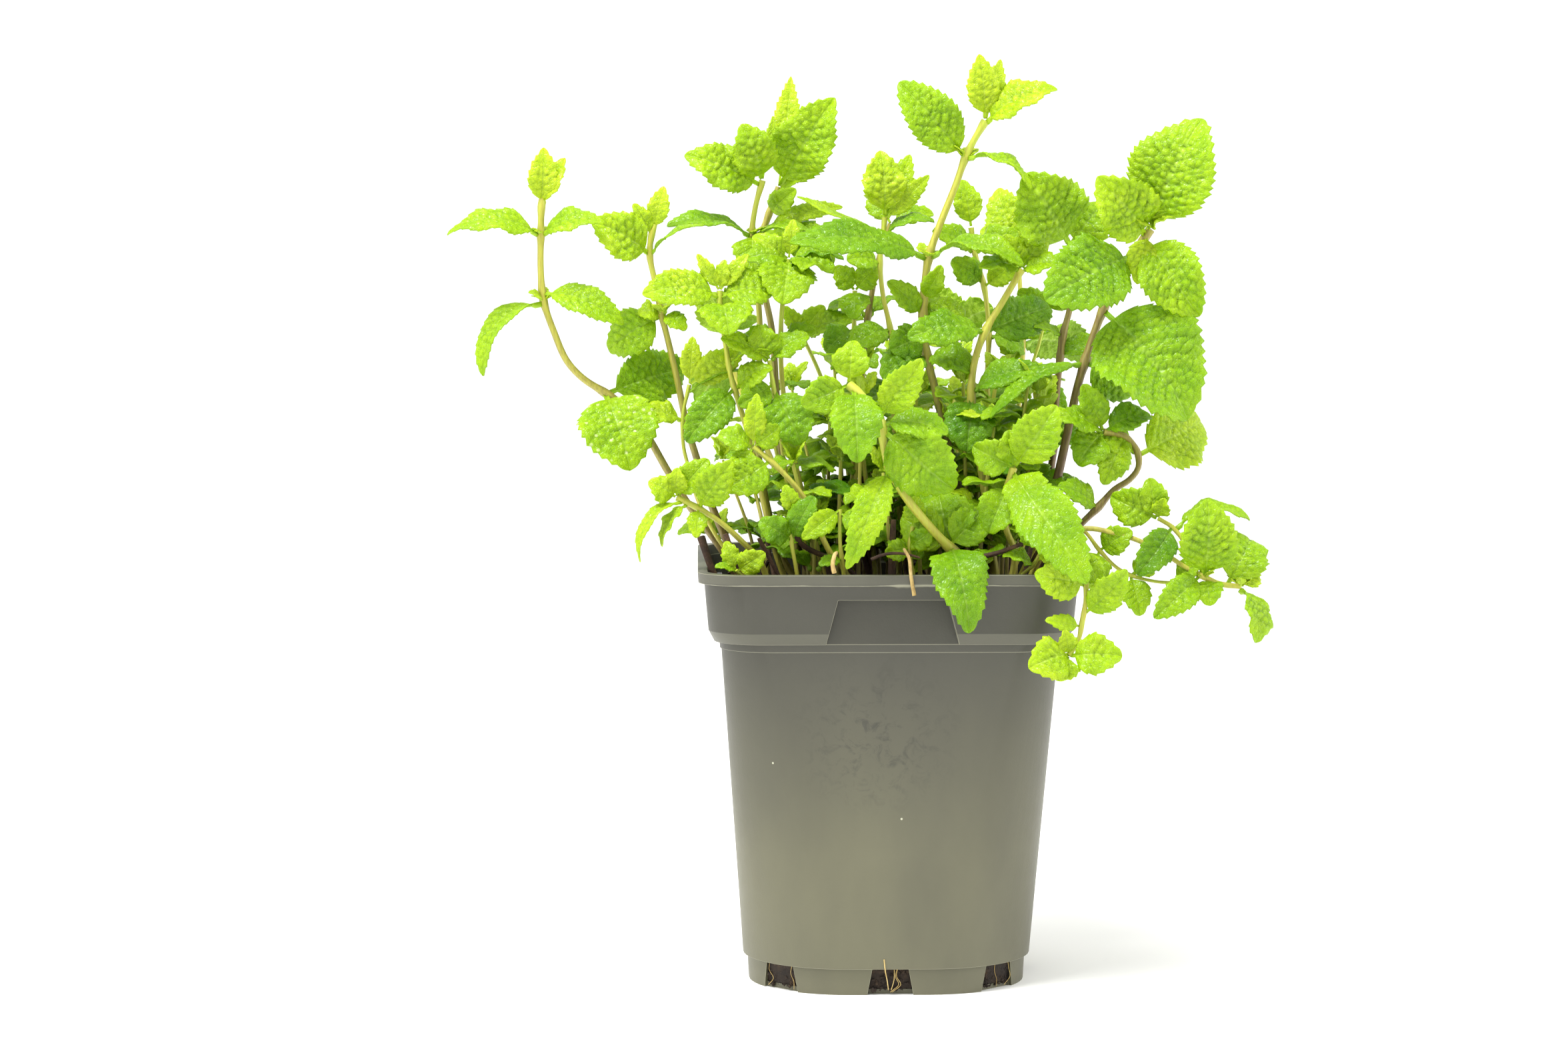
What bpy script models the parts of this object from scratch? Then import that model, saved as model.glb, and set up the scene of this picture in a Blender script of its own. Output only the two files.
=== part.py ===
"""Potted mint plant: a square nursery pot, its potting mix, and the rooted stems with their main leaves."""

from math import ceil, cos, pi, sin

import bmesh
import bpy
from mathutils import Matrix, Vector

# Driving dimensions, in metres. The pot stands on z = 0 with its axis on the origin and a flat side to -Y.
potHeight = 0.120
rimHalf = 0.0540
lipHeight = 0.0030
collarHeight = 0.0198
wall = 0.0014
footHeight = 0.0076
footHalf = 0.0398
bodyHalfLow = 0.0411
bodyHalfHigh = 0.0480
cornerLow = 0.0300
cornerHigh = 0.0150
collarHalf = 0.0522
collarDraft = 0.0012
collarEase = 0.0016
collarCorner = 0.0130
rimDraft = 0.0002
rimCorner = 0.0125
mouthHalf = 0.0514
footDraft = 0.0004
footCorner = 0.0288
bandHeight = 0.0023
bandStep = 0.0004
bandDraft = 0.0002
soilTop = 0.1070
soilShoulder = 0.0020
soilCrown = 0.0006
shoulderInset = 0.006
crownInset = 0.022
gap = 0.0003

# Trapezoid panels in the collar and notches in the foot: half-widths at their top and bottom.
panelTop = 0.0152
panelBottom = 0.0186
panelHeight = 0.0127
notchTop = 0.0051
notchBottom = 0.0067
notchRoof = 0.0074
notchSide = 0.0374
notchCorner = 0.0420

# Cutters run this far past the wall that they open, and out to this distance from the axis.
overshoot = 0.001
outside = 0.060

# Stems and blades.
rootDepth = 0.013
socketClearance = 0.0007
socketSides = 6
pointSpacing = 0.006
searchSpacing = 0.0005
bladeThickness = 0.0005
bladeRows = 6
bladeCup = 0.18
petioleShare = 0.10
petioleWidth = 0.07
outlineSkew = 0.80
outlineFullness = 0.65
cornerSteps = 5

# The plant is laid out in millimetres on a front elevation drawn from the eye point.
# A point set at depth y is carried back or forward along its own line of sight.
eye = Vector((-0.0535, -1.2, 0.2295))
mm = 0.001

# The way the upper side of a blade faces.
facing = {
    "up": (0.0, -0.2, 1.0),
    "front": (0.0, -1.0, 0.2),
    "frontUp": (0.0, -0.75, 0.75),
    "leftUp": (-0.6, -0.5, 0.7),
    "right": (0.8, -0.6, 0.2),
    "backUp": (0.0, 0.7, 0.8),
}

# One entry per stem: where it is rooted (x, y), the radii at its foot and its top, and its route in millimetres.
# Its leaves are (name, node on the stem, tip, width, how far the blade arches, the way it faces).
shoots = {
    "left_outer": {
        "root": (-41, -6),
        "radii": (1.3, 0.9),
        "colour": (0.30, 0.26, 0.07),
        "route": [
            (-45, -8, 119), (-51, -10, 128), (-57, -12, 136), (-62.5, -12, 145), (-69.5, -12, 157),
            (-76, -12, 164.5), (-81, -12, 168), (-87, -12, 172), (-91.5, -12, 177), (-95, -12, 185),
            (-98, -12, 194), (-98.8, -12, 203), (-98.7, -12, 213), (-98.5, -12, 221),
        ],
        "leaves": [
            ("upper_left", (-98.8, -12, 213), (-126.5, -20, 216.5), 13, 4, "up"),
            ("upper_right", (-98.8, -12, 213), (-80.5, -18, 218), 11, 2.5, "up"),
            ("lower_left", (-98, -12, 194), (-116.5, -18, 172.5), 10, 6, "leftUp"),
            ("lower_right", (-98, -12, 196.5), (-74.5, -20, 188.5), 10, 2.5, "frontUp"),
            ("mottled", (-80.5, -12, 167.8), (-73, -26, 145.5), 22, 3, "front"),
        ],
    },
    "left_inner": {
        "root": (-38, 3),
        "radii": (1.4, 0.8),
        "colour": (0.30, 0.24, 0.08),
        "route": [
            (-42.5, 1, 118), (-47, -1, 128), (-51, -3, 138), (-54, -4, 148), (-57, -5, 158),
            (-59.5, -6, 170), (-62, -6, 181), (-64.3, -6, 190.5), (-66, -6, 199), (-67.6, -6, 207.5),
            (-66.8, -6, 214),
        ],
        "leaves": [
            ("upper_left", (-67.6, -6, 207.5), (-84, -14, 217.5), 13, 2, "front"),
        ],
    },
    "left_middle": {
        "root": (-27, -15),
        "radii": (1.1, 0.7),
        "colour": (0.42, 0.40, 0.10),
        "route": [
            (-31, -17, 120), (-35, -18, 136), (-39, -18, 154), (-42.5, -18, 166), (-44.5, -17, 173),
            (-46, -17, 182), (-47.3, -17, 190), (-47.6, -17, 197),
        ],
        "leaves": [],
    },
    "left_pair_green": {
        "root": (-24, 10),
        "radii": (1.2, 0.8),
        "colour": (0.33, 0.33, 0.10),
        "route": [
            (-30, 10, 121), (-35, 8, 140), (-36.8, 6, 155), (-36.5, 6, 170), (-36, 6, 185),
            (-37, 6, 200), (-38.3, 6, 213), (-37.3, 6, 221), (-35.3, 6, 228.5),
        ],
        "leaves": [
            ("top_left", (-35.8, 6, 227), (-57, -2, 236), 12, 2, "front"),
        ],
    },
    "left_pair_brown": {
        "root": (-19, 23),
        "radii": (1.3, 0.9),
        "colour": (0.28, 0.20, 0.09),
        "route": [
            (-26, 21, 125), (-30, 19, 150), (-31.5, 18, 170), (-32.5, 17, 185), (-34.5, 17, 195),
            (-36.6, 16, 204), (-35.6, 16, 212), (-33.4, 15, 219), (-30.5, 14, 226.5),
        ],
        "leaves": [
            ("bud", (-30.5, 14, 226.5), (-27, 18, 258.5), 7, 0, "front"),
            ("round", (-30.5, 14, 226.5), (-17.5, 0, 251.5), 15, 1, "front"),
        ],
    },
    "left_of_centre": {
        "root": (-15, -3),
        "radii": (1.0, 0.7),
        "colour": (0.38, 0.38, 0.10),
        "route": [
            (-20, -4, 124), (-26, -5, 148), (-29.6, -6, 170), (-30, -6, 187), (-29, -6, 198),
            (-27.8, -6, 206),
        ],
        "leaves": [],
    },
    "centre_green": {
        "root": (7, 6),
        "radii": (1.0, 0.7),
        "colour": (0.48, 0.45, 0.12),
        "route": [
            (5, 6, 125), (3, 5, 150), (2.2, 4, 172), (1.5, 3, 185), (-0.8, 3, 196), (-1.6, 3, 206),
            (-0.7, 3, 213), (-0.3, 3, 218),
        ],
        "leaves": [
            ("tip", (-0.3, 3, 218), (-1, 1, 237.5), 11, 2, "front"),
        ],
    },
    "centre_brown": {
        "root": (-3, 27),
        "radii": (1.3, 0.8),
        "colour": (0.30, 0.21, 0.12),
        "route": [
            (-5, 26, 130), (-7, 24, 150), (-7.3, 22, 165), (-6.6, 20, 176), (-5.3, 19, 188),
            (-3.6, 18, 198), (-2, 17, 206), (1.5, 16, 216),
        ],
        "leaves": [],
    },
    "centre_tall": {
        "root": (24, -1),
        "radii": (1.5, 1.0),
        "colour": (0.36, 0.33, 0.08),
        "route": [
            (23.5, -3, 123), (21.5, -4, 138), (19, -5, 148), (16.8, -6, 158), (14.5, -7, 168),
            (12, -8, 178), (10.8, -8, 188), (11.2, -8, 198), (12.5, -8, 207), (16, -8, 217),
            (20, -8, 227), (22.8, -8, 235), (25, -8, 239.5), (28.5, -8, 245.5),
        ],
        "leaves": [
            ("bud", (28.5, -8, 245.5), (26.8, -11, 264.5), 9, 1, "front"),
            ("top_right", (28.3, -8, 244.5), (48.5, -14, 256.5), 11, 2, "frontUp"),
            ("top_left", (22.8, -8, 235), (3.8, -12, 257), 14, 2, "front"),
            ("long_left", (12.4, -8, 206.5), (-27, -26, 212.5), 13, 3, "frontUp"),
        ],
    },
    "right_curved": {
        "root": (32, -10),
        "radii": (1.3, 1.0),
        "colour": (0.50, 0.48, 0.14),
        "route": [
            (30.5, -12, 125), (28.5, -14, 140), (26.5, -15, 152), (25, -16, 162), (24.8, -16, 170),
            (26, -15, 178), (29, -14, 186), (33.5, -13, 193.5), (39, -11, 203),
        ],
        "leaves": [
            ("dark_right", (28.5, -14, 185), (47.5, 0, 192.5), 13, 0.5, "front"),
        ],
    },
    "right_of_centre": {
        "root": (27, 16),
        "radii": (1.0, 0.7),
        "colour": (0.35, 0.33, 0.11),
        "route": [
            (29.5, 15, 125), (31.5, 14, 145), (30.5, 13, 158), (29.3, 12, 170), (29.7, 12, 185),
            (28.3, 12, 198), (25.5, 12, 208), (24.5, 12, 215),
        ],
        "leaves": [],
    },
    "right_back": {
        "root": (39, 30),
        "radii": (1.1, 0.7),
        "colour": (0.40, 0.40, 0.12),
        "route": [
            (38.5, 31, 128), (37, 33, 148), (38.5, 34, 165), (39.5, 35, 180), (38.8, 36, 195),
            (38, 37, 208),
        ],
        "leaves": [
            ("outer", (39.2, 35, 182), (62, 62, 176), 15, 4, "backUp"),
        ],
    },
    "right_brown": {
        "root": (42, 5),
        "radii": (1.3, 0.9),
        "colour": (0.25, 0.20, 0.08),
        "route": [
            (46.5, 3, 125), (47, 0, 138), (48.3, -2, 150), (49, -4, 163), (50, -5, 175),
            (51, -6, 184), (53, -6, 192), (54, -6, 202), (53, -6, 210),
        ],
        "leaves": [],
    },
    "right_tall": {
        "root": (41, -13),
        "radii": (1.6, 1.1),
        "colour": (0.26, 0.22, 0.08),
        "route": [
            (45.5, -17, 127), (48.5, -20, 138), (51, -21, 149), (53.3, -22, 160), (55.5, -22, 170),
            (58.5, -22, 180), (62, -22, 190), (67, -23, 201), (73, -24, 210), (76, -25, 214.5),
        ],
        "leaves": [
            ("top_right", (76, -25, 214.5), (89.5, -30, 247.5), 24, 3, "front"),
            ("top_left", (74.5, -25, 212.5), (60.5, -36, 229), 17, 3, "front"),
            ("dark_front", (70.5, -24, 207), (46, -40, 194.5), 21, 3, "front"),
            ("lower_right", (74, -25, 211.5), (90, -34, 189), 17, 3, "front"),
            ("great", (63.5, -22, 193.5), (87, -38, 161), 28, 4, "front"),
        ],
    },
    "right_curled": {
        "root": (42, -23),
        "radii": (1.2, 0.9),
        "colour": (0.24, 0.17, 0.09),
        "route": [
            (51, -26, 122), (56, -30, 129), (61.5, -31, 134.5), (66, -31, 139.5), (70.5, -30, 142.5),
            (73, -29, 146), (72.5, -28, 151), (69, -28, 155), (63, -29, 156.3),
        ],
        "leaves": [
            ("yellow", (72.8, -28, 149.5), (94.5, -6, 160.5), 19, 2, "front"),
        ],
    },
    "right_runner": {
        "root": (37, -29),
        "radii": (1.1, 0.8),
        "colour": (0.45, 0.40, 0.12),
        "route": [
            (46, -33, 122), (50, -36, 126), (55, -38, 128), (60, -39, 128.3), (66, -40, 127),
            (72, -41, 125.3), (80, -42, 121.5), (87, -43, 117), (93, -44, 113.8), (98, -44, 112),
            (103, -44, 111.5),
        ],
        "leaves": [
            ("end", (103, -44, 111.5), (109, -50, 95), 13, 2, "right"),
            ("upright", (92.5, -44, 114), (94, -52, 136.5), 16, 2, "front"),
        ],
    },
    "right_runner_branch": {
        "fork": ("right_runner", (89, -43, 116)),
        "radii": (0.8, 0.6),
        "colour": (0.50, 0.48, 0.15),
        "route": [(88, -41, 121), (86, -40, 125), (83, -39, 128.7), (78.8, -38, 131.3)],
        "leaves": [
            ("far", (83.5, -39, 128.4), (106, -33, 131.5), 9, 4, "up"),
        ],
    },
    "corner_trailer": {
        "root": (39, -36),
        "radii": (0.9, 0.7),
        "colour": (0.45, 0.45, 0.14),
        "route": [
            (47, -43, 117), (51.5, -49, 122), (55.5, -55, 121.5), (57.8, -59, 115), (58, -60, 107),
            (57, -60, 101), (56, -61, 96), (53.3, -62, 91.5),
        ],
        "leaves": [
            ("low_right", (53.3, -62, 91.5), (69, -66, 91.5), 11, 2, "front"),
            ("low_left", (53.6, -62, 92), (41.5, -68, 88), 12, 2, "front"),
        ],
    },
    "left_runner": {
        "root": (-33, -27),
        "radii": (1.1, 0.8),
        "colour": (0.46, 0.44, 0.14),
        "route": [
            (-36, -30, 119), (-41, -32, 124.5), (-47, -33, 130), (-53, -34, 134), (-60, -35, 137.5),
        ],
        "leaves": [
            ("drooping", (-58, -35, 136.6), (-73, -42, 119), 5, 5, "leftUp"),
        ],
    },
    "left_front": {
        "root": (-9, -25),
        "radii": (1.0, 0.8),
        "colour": (0.40, 0.40, 0.13),
        "route": [
            (-12, -28, 117), (-15.5, -30, 121), (-19, -31, 128), (-22.5, -32, 136), (-27, -33, 142),
            (-33, -34, 148), (-38, -34, 152),
        ],
        "leaves": [],
    },
    "front_centre": {
        "root": (24, -35),
        "radii": (1.4, 1.0),
        "colour": (0.50, 0.46, 0.14),
        "route": [
            (21.5, -40, 120), (18, -43, 123.5), (12, -46, 130), (5, -48, 139), (1, -49, 147),
            (-0.5, -49, 153), (-1.3, -49, 159), (-6, -48, 166), (-10.5, -46, 170),
        ],
        "leaves": [
            ("over_rim", (19, -42.5, 122.7), (25.5, -64, 98), 16, 8, "frontUp"),
            ("drooping", (1.5, -49, 146), (-10, -66, 116.5), 10.5, 4, "front"),
            ("broad", (-1, -49, 157), (20, -52, 138.5), 18, 2, "front"),
        ],
    },
    "front_right": {
        "root": (32, -36),
        "radii": (1.1, 0.9),
        "colour": (0.48, 0.46, 0.14),
        "route": [
            (37.5, -37, 121), (35, -40, 128), (34, -42, 135), (35.5, -43, 141), (37, -44, 146),
        ],
        "leaves": [
            ("down", (36.8, -44, 144.5), (59, -68, 113), 16, 4, "front"),
        ],
    },
    "back_left": {
        "root": (-22, 36),
        "radii": (1.2, 0.8),
        "colour": (0.36, 0.36, 0.11),
        "route": [
            (-23.5, 37.5, 125), (-30, 44, 142), (-37, 50, 158), (-43, 54, 172), (-46, 56, 183),
        ],
        "leaves": [
            ("outer", (-43.5, 55, 173.5), (-54, 76, 165), 15, 4, "backUp"),
        ],
    },
    "back_right": {
        "root": (15, 37),
        "radii": (1.2, 0.8),
        "colour": (0.36, 0.34, 0.11),
        "route": [
            (15.5, 38.5, 127), (17.5, 45, 145), (20, 52, 160), (21, 56, 173), (20, 58, 184),
        ],
        "leaves": [
            ("outer", (20.5, 56, 168), (36, 78, 158), 15, 4, "backUp"),
        ],
    },
}


def place(x, y, z):
    """A point of the front elevation, carried to its depth, in metres."""
    depth = 1 + y * mm / -eye.y
    return Vector((eye.x + (x * mm - eye.x) * depth, y * mm, eye.z + (z * mm - eye.z) * depth))


def clearScene():
    for item in list(bpy.data.objects):
        bpy.data.objects.remove(item, do_unlink=True)


def newCollection(name):
    made = bpy.data.collections.new(name)
    bpy.context.scene.collection.children.link(made)
    return made


def newMaterial(name, colour, roughness):
    made = bpy.data.materials.new(name)
    made.use_nodes = True
    shader = made.node_tree.nodes["Principled BSDF"]
    shader.inputs["Base Color"].default_value = (*colour, 1.0)
    shader.inputs["Roughness"].default_value = roughness
    shader.inputs["Metallic"].default_value = 0.0
    return made


def newObject(name, data, collection, material=None):
    made = bpy.data.objects.new(name, data)
    collection.objects.link(made)
    if material:
        made.data.materials.append(material)
    return made


def asCutter(item):
    item.hide_render = True
    item.display_type = "WIRE"
    return item


def roundedSquare(half, corner, z):
    """A ring of points round a square of that half-width with round corners."""
    ring = []
    for quarter in range(4):
        centre = Matrix.Rotation(quarter * pi / 2, 3, "Z") @ Vector((half - corner, half - corner, 0))
        for step in range(cornerSteps + 1):
            angle = quarter * pi / 2 + step * pi / 2 / cornerSteps
            ring.append(centre + corner * Vector((cos(angle), sin(angle), 0)) + Vector((0, 0, z)))
    return ring


def loft(name, sections, collection, material=None):
    """A closed solid through rounded squares given as (height, half-width, corner radius)."""
    shape = bmesh.new()
    rings = [[shape.verts.new(p) for p in roundedSquare(half, corner, z)] for z, half, corner in sections]
    for low, high in zip(rings, rings[1:]):
        for i in range(len(low)):
            j = (i + 1) % len(low)
            shape.faces.new((low[i], low[j], high[j], high[i]))
    shape.faces.new(list(reversed(rings[0])))
    shape.faces.new(rings[-1])
    bmesh.ops.recalc_face_normals(shape, faces=shape.faces)
    mesh = bpy.data.meshes.new(name)
    shape.to_mesh(mesh)
    shape.free()
    return newObject(name, mesh, collection, material)


def wedge(name, near, far, low, high, halfLow, halfHigh, turn, collection):
    """A trapezoid block from near to far along +X, turned about the pot's axis."""
    shape = bmesh.new()
    bmesh.ops.create_cube(shape, size=1)
    for vert in shape.verts:
        x = far if vert.co.x > 0 else near
        z = high if vert.co.z > 0 else low
        half = halfHigh if vert.co.z > 0 else halfLow
        vert.co = Vector((x, half if vert.co.y > 0 else -half, z))
    bmesh.ops.rotate(shape, verts=shape.verts, matrix=Matrix.Rotation(turn, 3, "Z"))
    mesh = bpy.data.meshes.new(name)
    shape.to_mesh(mesh)
    shape.free()
    return asCutter(newObject(name, mesh, collection))


def cut(body, cutter):
    boolean = body.modifiers.new("cut_" + cutter.name, "BOOLEAN")
    boolean.operation = "DIFFERENCE"
    boolean.solver = "EXACT"
    boolean.object = cutter


def makePot(parts, cutters):
    """A thin-walled square pot: foot with drainage notches, tapered body, collar with panels, and a lip."""
    collarLow = potHeight - collarHeight
    lipLow = potHeight - lipHeight
    bandLow = collarLow - bandHeight
    outline = [
        (0.0, footHalf - footDraft, footCorner - footDraft),
        (footHeight, footHalf, footCorner),
        (footHeight, bodyHalfLow, cornerLow),
        (bandLow, bodyHalfHigh - bandDraft - bandStep, cornerHigh),
        (bandLow, bodyHalfHigh - bandDraft, cornerHigh),
        (collarLow, bodyHalfHigh, cornerHigh),
        (collarLow, collarHalf - collarDraft - collarEase, collarCorner),
        (collarLow + collarEase, collarHalf - collarDraft, collarCorner),
        (lipLow, collarHalf, collarCorner),
        (lipLow, rimHalf - rimDraft, rimCorner),
        (potHeight, rimHalf, rimCorner),
    ]
    pot = loft("nursery_pot", outline, parts, newMaterial("moulded_pot_plastic", (0.125, 0.120, 0.085), 0.5))
    inside = [
        (wall, footHalf - wall, footCorner - wall),
        (bandLow, bodyHalfHigh - bandDraft - bandStep - wall, cornerHigh - wall),
        (collarLow + wall, bodyHalfHigh - wall, cornerHigh - wall),
        (collarLow + wall, collarHalf - collarDraft - wall, collarCorner - wall),
        (potHeight + overshoot, mouthHalf, collarCorner - wall),
    ]
    hollow = asCutter(loft("pot_hollow", inside, cutters))
    for side in range(4):
        turn = side * pi / 2
        panelHigh = collarLow + panelHeight
        face = bodyHalfHigh + gap
        panel = wedge(
            f"panel_{side}", face, outside, collarLow - gap, panelHigh, panelBottom, panelTop, turn, cutters,
        )
        cut(pot, panel)
        bump = wedge(
            f"panel_wall_{side}", face - wall, outside, collarLow - overshoot, panelHigh + wall,
            panelBottom + wall, panelTop + wall, turn, cutters,
        )
        cut(hollow, bump)
    cut(pot, hollow)
    for notch in range(8):
        near = notchCorner if notch % 2 == 1 else notchSide
        opening = wedge(
            f"notch_{notch}", near, outside, -overshoot, notchRoof, notchBottom, notchTop, notch * pi / 4, cutters,
        )
        cut(pot, opening)
    return pot


def makePottingMix(parts, cutters):
    """The root ball that fills the pot, slightly domed, with a socket for each rooted stem."""
    inner = bodyHalfHigh - wall - gap
    corner = cornerHigh - wall - gap
    sections = [
        (wall + gap, footHalf - wall - gap, footCorner - wall - gap),
        (soilTop - soilShoulder, inner, corner),
        (soilTop - soilCrown, inner - shoulderInset, corner),
        (soilTop, inner - crownInset, corner),
    ]
    soil = loft("potting_mix", sections, parts, newMaterial("peat_potting_mix", (0.022, 0.014, 0.010), 0.95))
    for name, shoot in shoots.items():
        if "root" not in shoot:
            continue
        shape = bmesh.new()
        radius = shoot["radii"][0] * mm + socketClearance
        depth = rootDepth + socketClearance
        bmesh.ops.create_cone(
            shape, cap_ends=True, segments=socketSides, radius1=radius, radius2=radius, depth=2 * depth,
        )
        x, y = shoot["root"]
        bmesh.ops.translate(shape, verts=shape.verts, vec=(x * mm, y * mm, soilTop))
        mesh = bpy.data.meshes.new("socket_" + name)
        shape.to_mesh(mesh)
        shape.free()
        cut(soil, asCutter(newObject("socket_" + name, mesh, cutters)))
    return soil


def smoothPath(points, spacing):
    """Points at about that spacing on a centripetal spline through the given ones."""
    ends = [2 * points[0] - points[1], *points, 2 * points[-1] - points[-2]]
    path = []
    for a, b, c, d in zip(ends, ends[1:], ends[2:], ends[3:]):
        ta = 0.0
        tb = ta + max((b - a).length, 1e-9) ** 0.5
        tc = tb + max((c - b).length, 1e-9) ** 0.5
        td = tc + max((d - c).length, 1e-9) ** 0.5
        steps = max(1, ceil((c - b).length / spacing))
        for step in range(steps):
            t = tb + (tc - tb) * step / steps
            ab = a + (b - a) * (t - ta) / (tb - ta)
            bc = b + (c - b) * (t - tb) / (tc - tb)
            cd = c + (d - c) * (t - tc) / (td - tc)
            left = ab + (bc - ab) * (t - ta) / (tc - ta)
            right = bc + (cd - bc) * (t - tb) / (td - tb)
            path.append(left + (right - left) * (t - tb) / (tc - tb))
    path.append(points[-1].copy())
    return path


def stemPath(shoot, spacing):
    """The stem's centre line, from its socket in the mix or its fork on another stem to its top."""
    route = [place(*point) for point in shoot["route"]]
    if "root" in shoot:
        x, y = shoot["root"]
        foot = [Vector((x * mm, y * mm, soilTop + up)) for up in (-rootDepth, -rootDepth / 2, 0.002)]
        return smoothPath(foot + route, spacing)
    parent, point = shoot["fork"]
    start = place(*point)
    clear = (shoots[parent]["radii"][0] + shoot["radii"][0]) * mm + gap
    start += (route[0] - start).normalized() * clear
    return smoothPath([start, *route], spacing)


def makeStem(name, shoot, parts):
    """A square-sectioned stem that thins towards its top."""
    path = stemPath(shoot, pointSpacing)
    low, high = shoot["radii"]
    curve = bpy.data.curves.new("stem_" + name, "CURVE")
    curve.dimensions = "3D"
    curve.bevel_mode = "ROUND"
    curve.bevel_depth = low * mm
    curve.bevel_resolution = 0
    curve.use_fill_caps = True
    spline = curve.splines.new("POLY")
    spline.points.add(len(path) - 1)
    for i, point in enumerate(path):
        spline.points[i].co = (*point, 1.0)
        spline.points[i].radius = 1 + (high / low - 1) * i / (len(path) - 1)
    return newObject("stem_" + name, curve, parts, newMaterial("mint_stem_" + name, shoot["colour"], 0.5))


def bladeWidth(s):
    """An ovate outline: the share of the full width at s from the petiole, 0, to the tip, 1."""
    if s < petioleShare:
        return petioleWidth
    t = (s - petioleShare) / (1 - petioleShare)
    return max(petioleWidth, sin(pi * t ** outlineSkew) ** outlineFullness if t < 1 else 0)


def makeLeaf(name, leaf, shoot, parts, material):
    """A thin arched blade whose petiole stops just clear of the stem."""
    _, node, tip, width, arch, way = leaf
    up = Vector(facing[way]).normalized()
    start = min(stemPath(shoot, searchSpacing), key=lambda p: (p - place(*node)).length)
    end = place(*tip)
    chord = (end - start).normalized()
    lift = (up - up.dot(chord) * chord).normalized()
    bend = (start + end) / 2 + lift * 2 * arch * mm
    start = start + (bend - start).normalized() * (shoot["radii"][0] * mm + 2 * gap)
    shape = bmesh.new()
    bmesh.ops.create_grid(shape, x_segments=2, y_segments=bladeRows, size=0.5)
    for vert in shape.verts:
        across = 2 * vert.co.x
        s = vert.co.y + 0.5
        spine = (1 - s) ** 2 * start + 2 * s * (1 - s) * bend + s * s * end
        along = (2 * (1 - s) * (bend - start) + 2 * s * (end - bend)).normalized()
        side = along.cross(up).normalized()
        normal = side.cross(along)
        half = width * mm / 2 * bladeWidth(s)
        vert.co = spine + side * across * half + normal * abs(across) * half * bladeCup
    mesh = bpy.data.meshes.new(name)
    shape.to_mesh(mesh)
    shape.free()
    blade = newObject(name, mesh, parts, material)
    solid = blade.modifiers.new("thickness", "SOLIDIFY")
    solid.thickness = bladeThickness
    solid.offset = 0
    return blade


def main():
    clearScene()
    parts = newCollection("potted_mint_plant")
    cutters = newCollection("cutters")
    makePot(parts, cutters)
    makePottingMix(parts, cutters)
    for name, shoot in shoots.items():
        makeStem(name, shoot, parts)
        for leaf in shoot["leaves"]:
            material = newMaterial(f"mint_leaf_{name}_{leaf[0]}", (0.16, 0.42, 0.03), 0.45)
            makeLeaf(f"leaf_{name}_{leaf[0]}", leaf, shoot, parts, material)


main()
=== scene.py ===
# Potted mint: a square nursery pot, its potting mix, rooted stems and their leaves.
from math import ceil, cos, pi, sin

import bmesh
import bpy
import numpy as np
from mathutils import Matrix, Vector


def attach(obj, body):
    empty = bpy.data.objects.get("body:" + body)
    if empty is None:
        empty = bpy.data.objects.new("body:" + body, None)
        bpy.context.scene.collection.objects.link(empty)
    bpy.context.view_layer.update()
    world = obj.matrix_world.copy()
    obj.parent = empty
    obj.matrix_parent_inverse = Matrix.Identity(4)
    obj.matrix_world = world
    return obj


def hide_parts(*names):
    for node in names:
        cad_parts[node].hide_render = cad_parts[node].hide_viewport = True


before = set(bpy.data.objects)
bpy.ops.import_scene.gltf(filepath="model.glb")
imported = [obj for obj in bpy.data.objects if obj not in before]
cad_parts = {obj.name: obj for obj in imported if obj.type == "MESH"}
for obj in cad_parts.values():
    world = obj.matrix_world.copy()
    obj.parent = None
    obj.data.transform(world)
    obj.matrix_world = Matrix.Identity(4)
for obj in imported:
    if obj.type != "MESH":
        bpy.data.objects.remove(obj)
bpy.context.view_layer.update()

mm = 0.001
eye = Vector((-0.0535, -1.2, 0.2295))  # the point the front elevation is drawn from


def linear(code):
    # an sRGB hex code as the linear colour a socket takes
    parts = [int(code[i:i + 2], 16) / 255 for i in (1, 3, 5)]
    return (*[c / 12.92 if c <= 0.04045 else ((c + 0.055) / 1.055) ** 2.4 for c in parts], 1.0)


def addNode(tree, kind, inputs=None, **settings):
    node = tree.nodes.new(kind)
    for key, value in settings.items():
        setattr(node, key, value)
    for socket, value in (inputs or {}).items():
        if isinstance(value, bpy.types.NodeSocket):
            tree.links.new(value, node.inputs[socket])
        else:
            node.inputs[socket].default_value = value
    return node


def newMaterial(name):
    made = bpy.data.materials.new(name)
    made.use_nodes = True
    made.node_tree.nodes.clear()
    return made, made.node_tree


def setRamp(node, stops):
    ramp = node.color_ramp
    while len(ramp.elements) < len(stops):
        ramp.elements.new(0.5)
    for element, (place, code) in zip(ramp.elements, stops):
        element.position = place
        element.color = linear(code)


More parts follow.
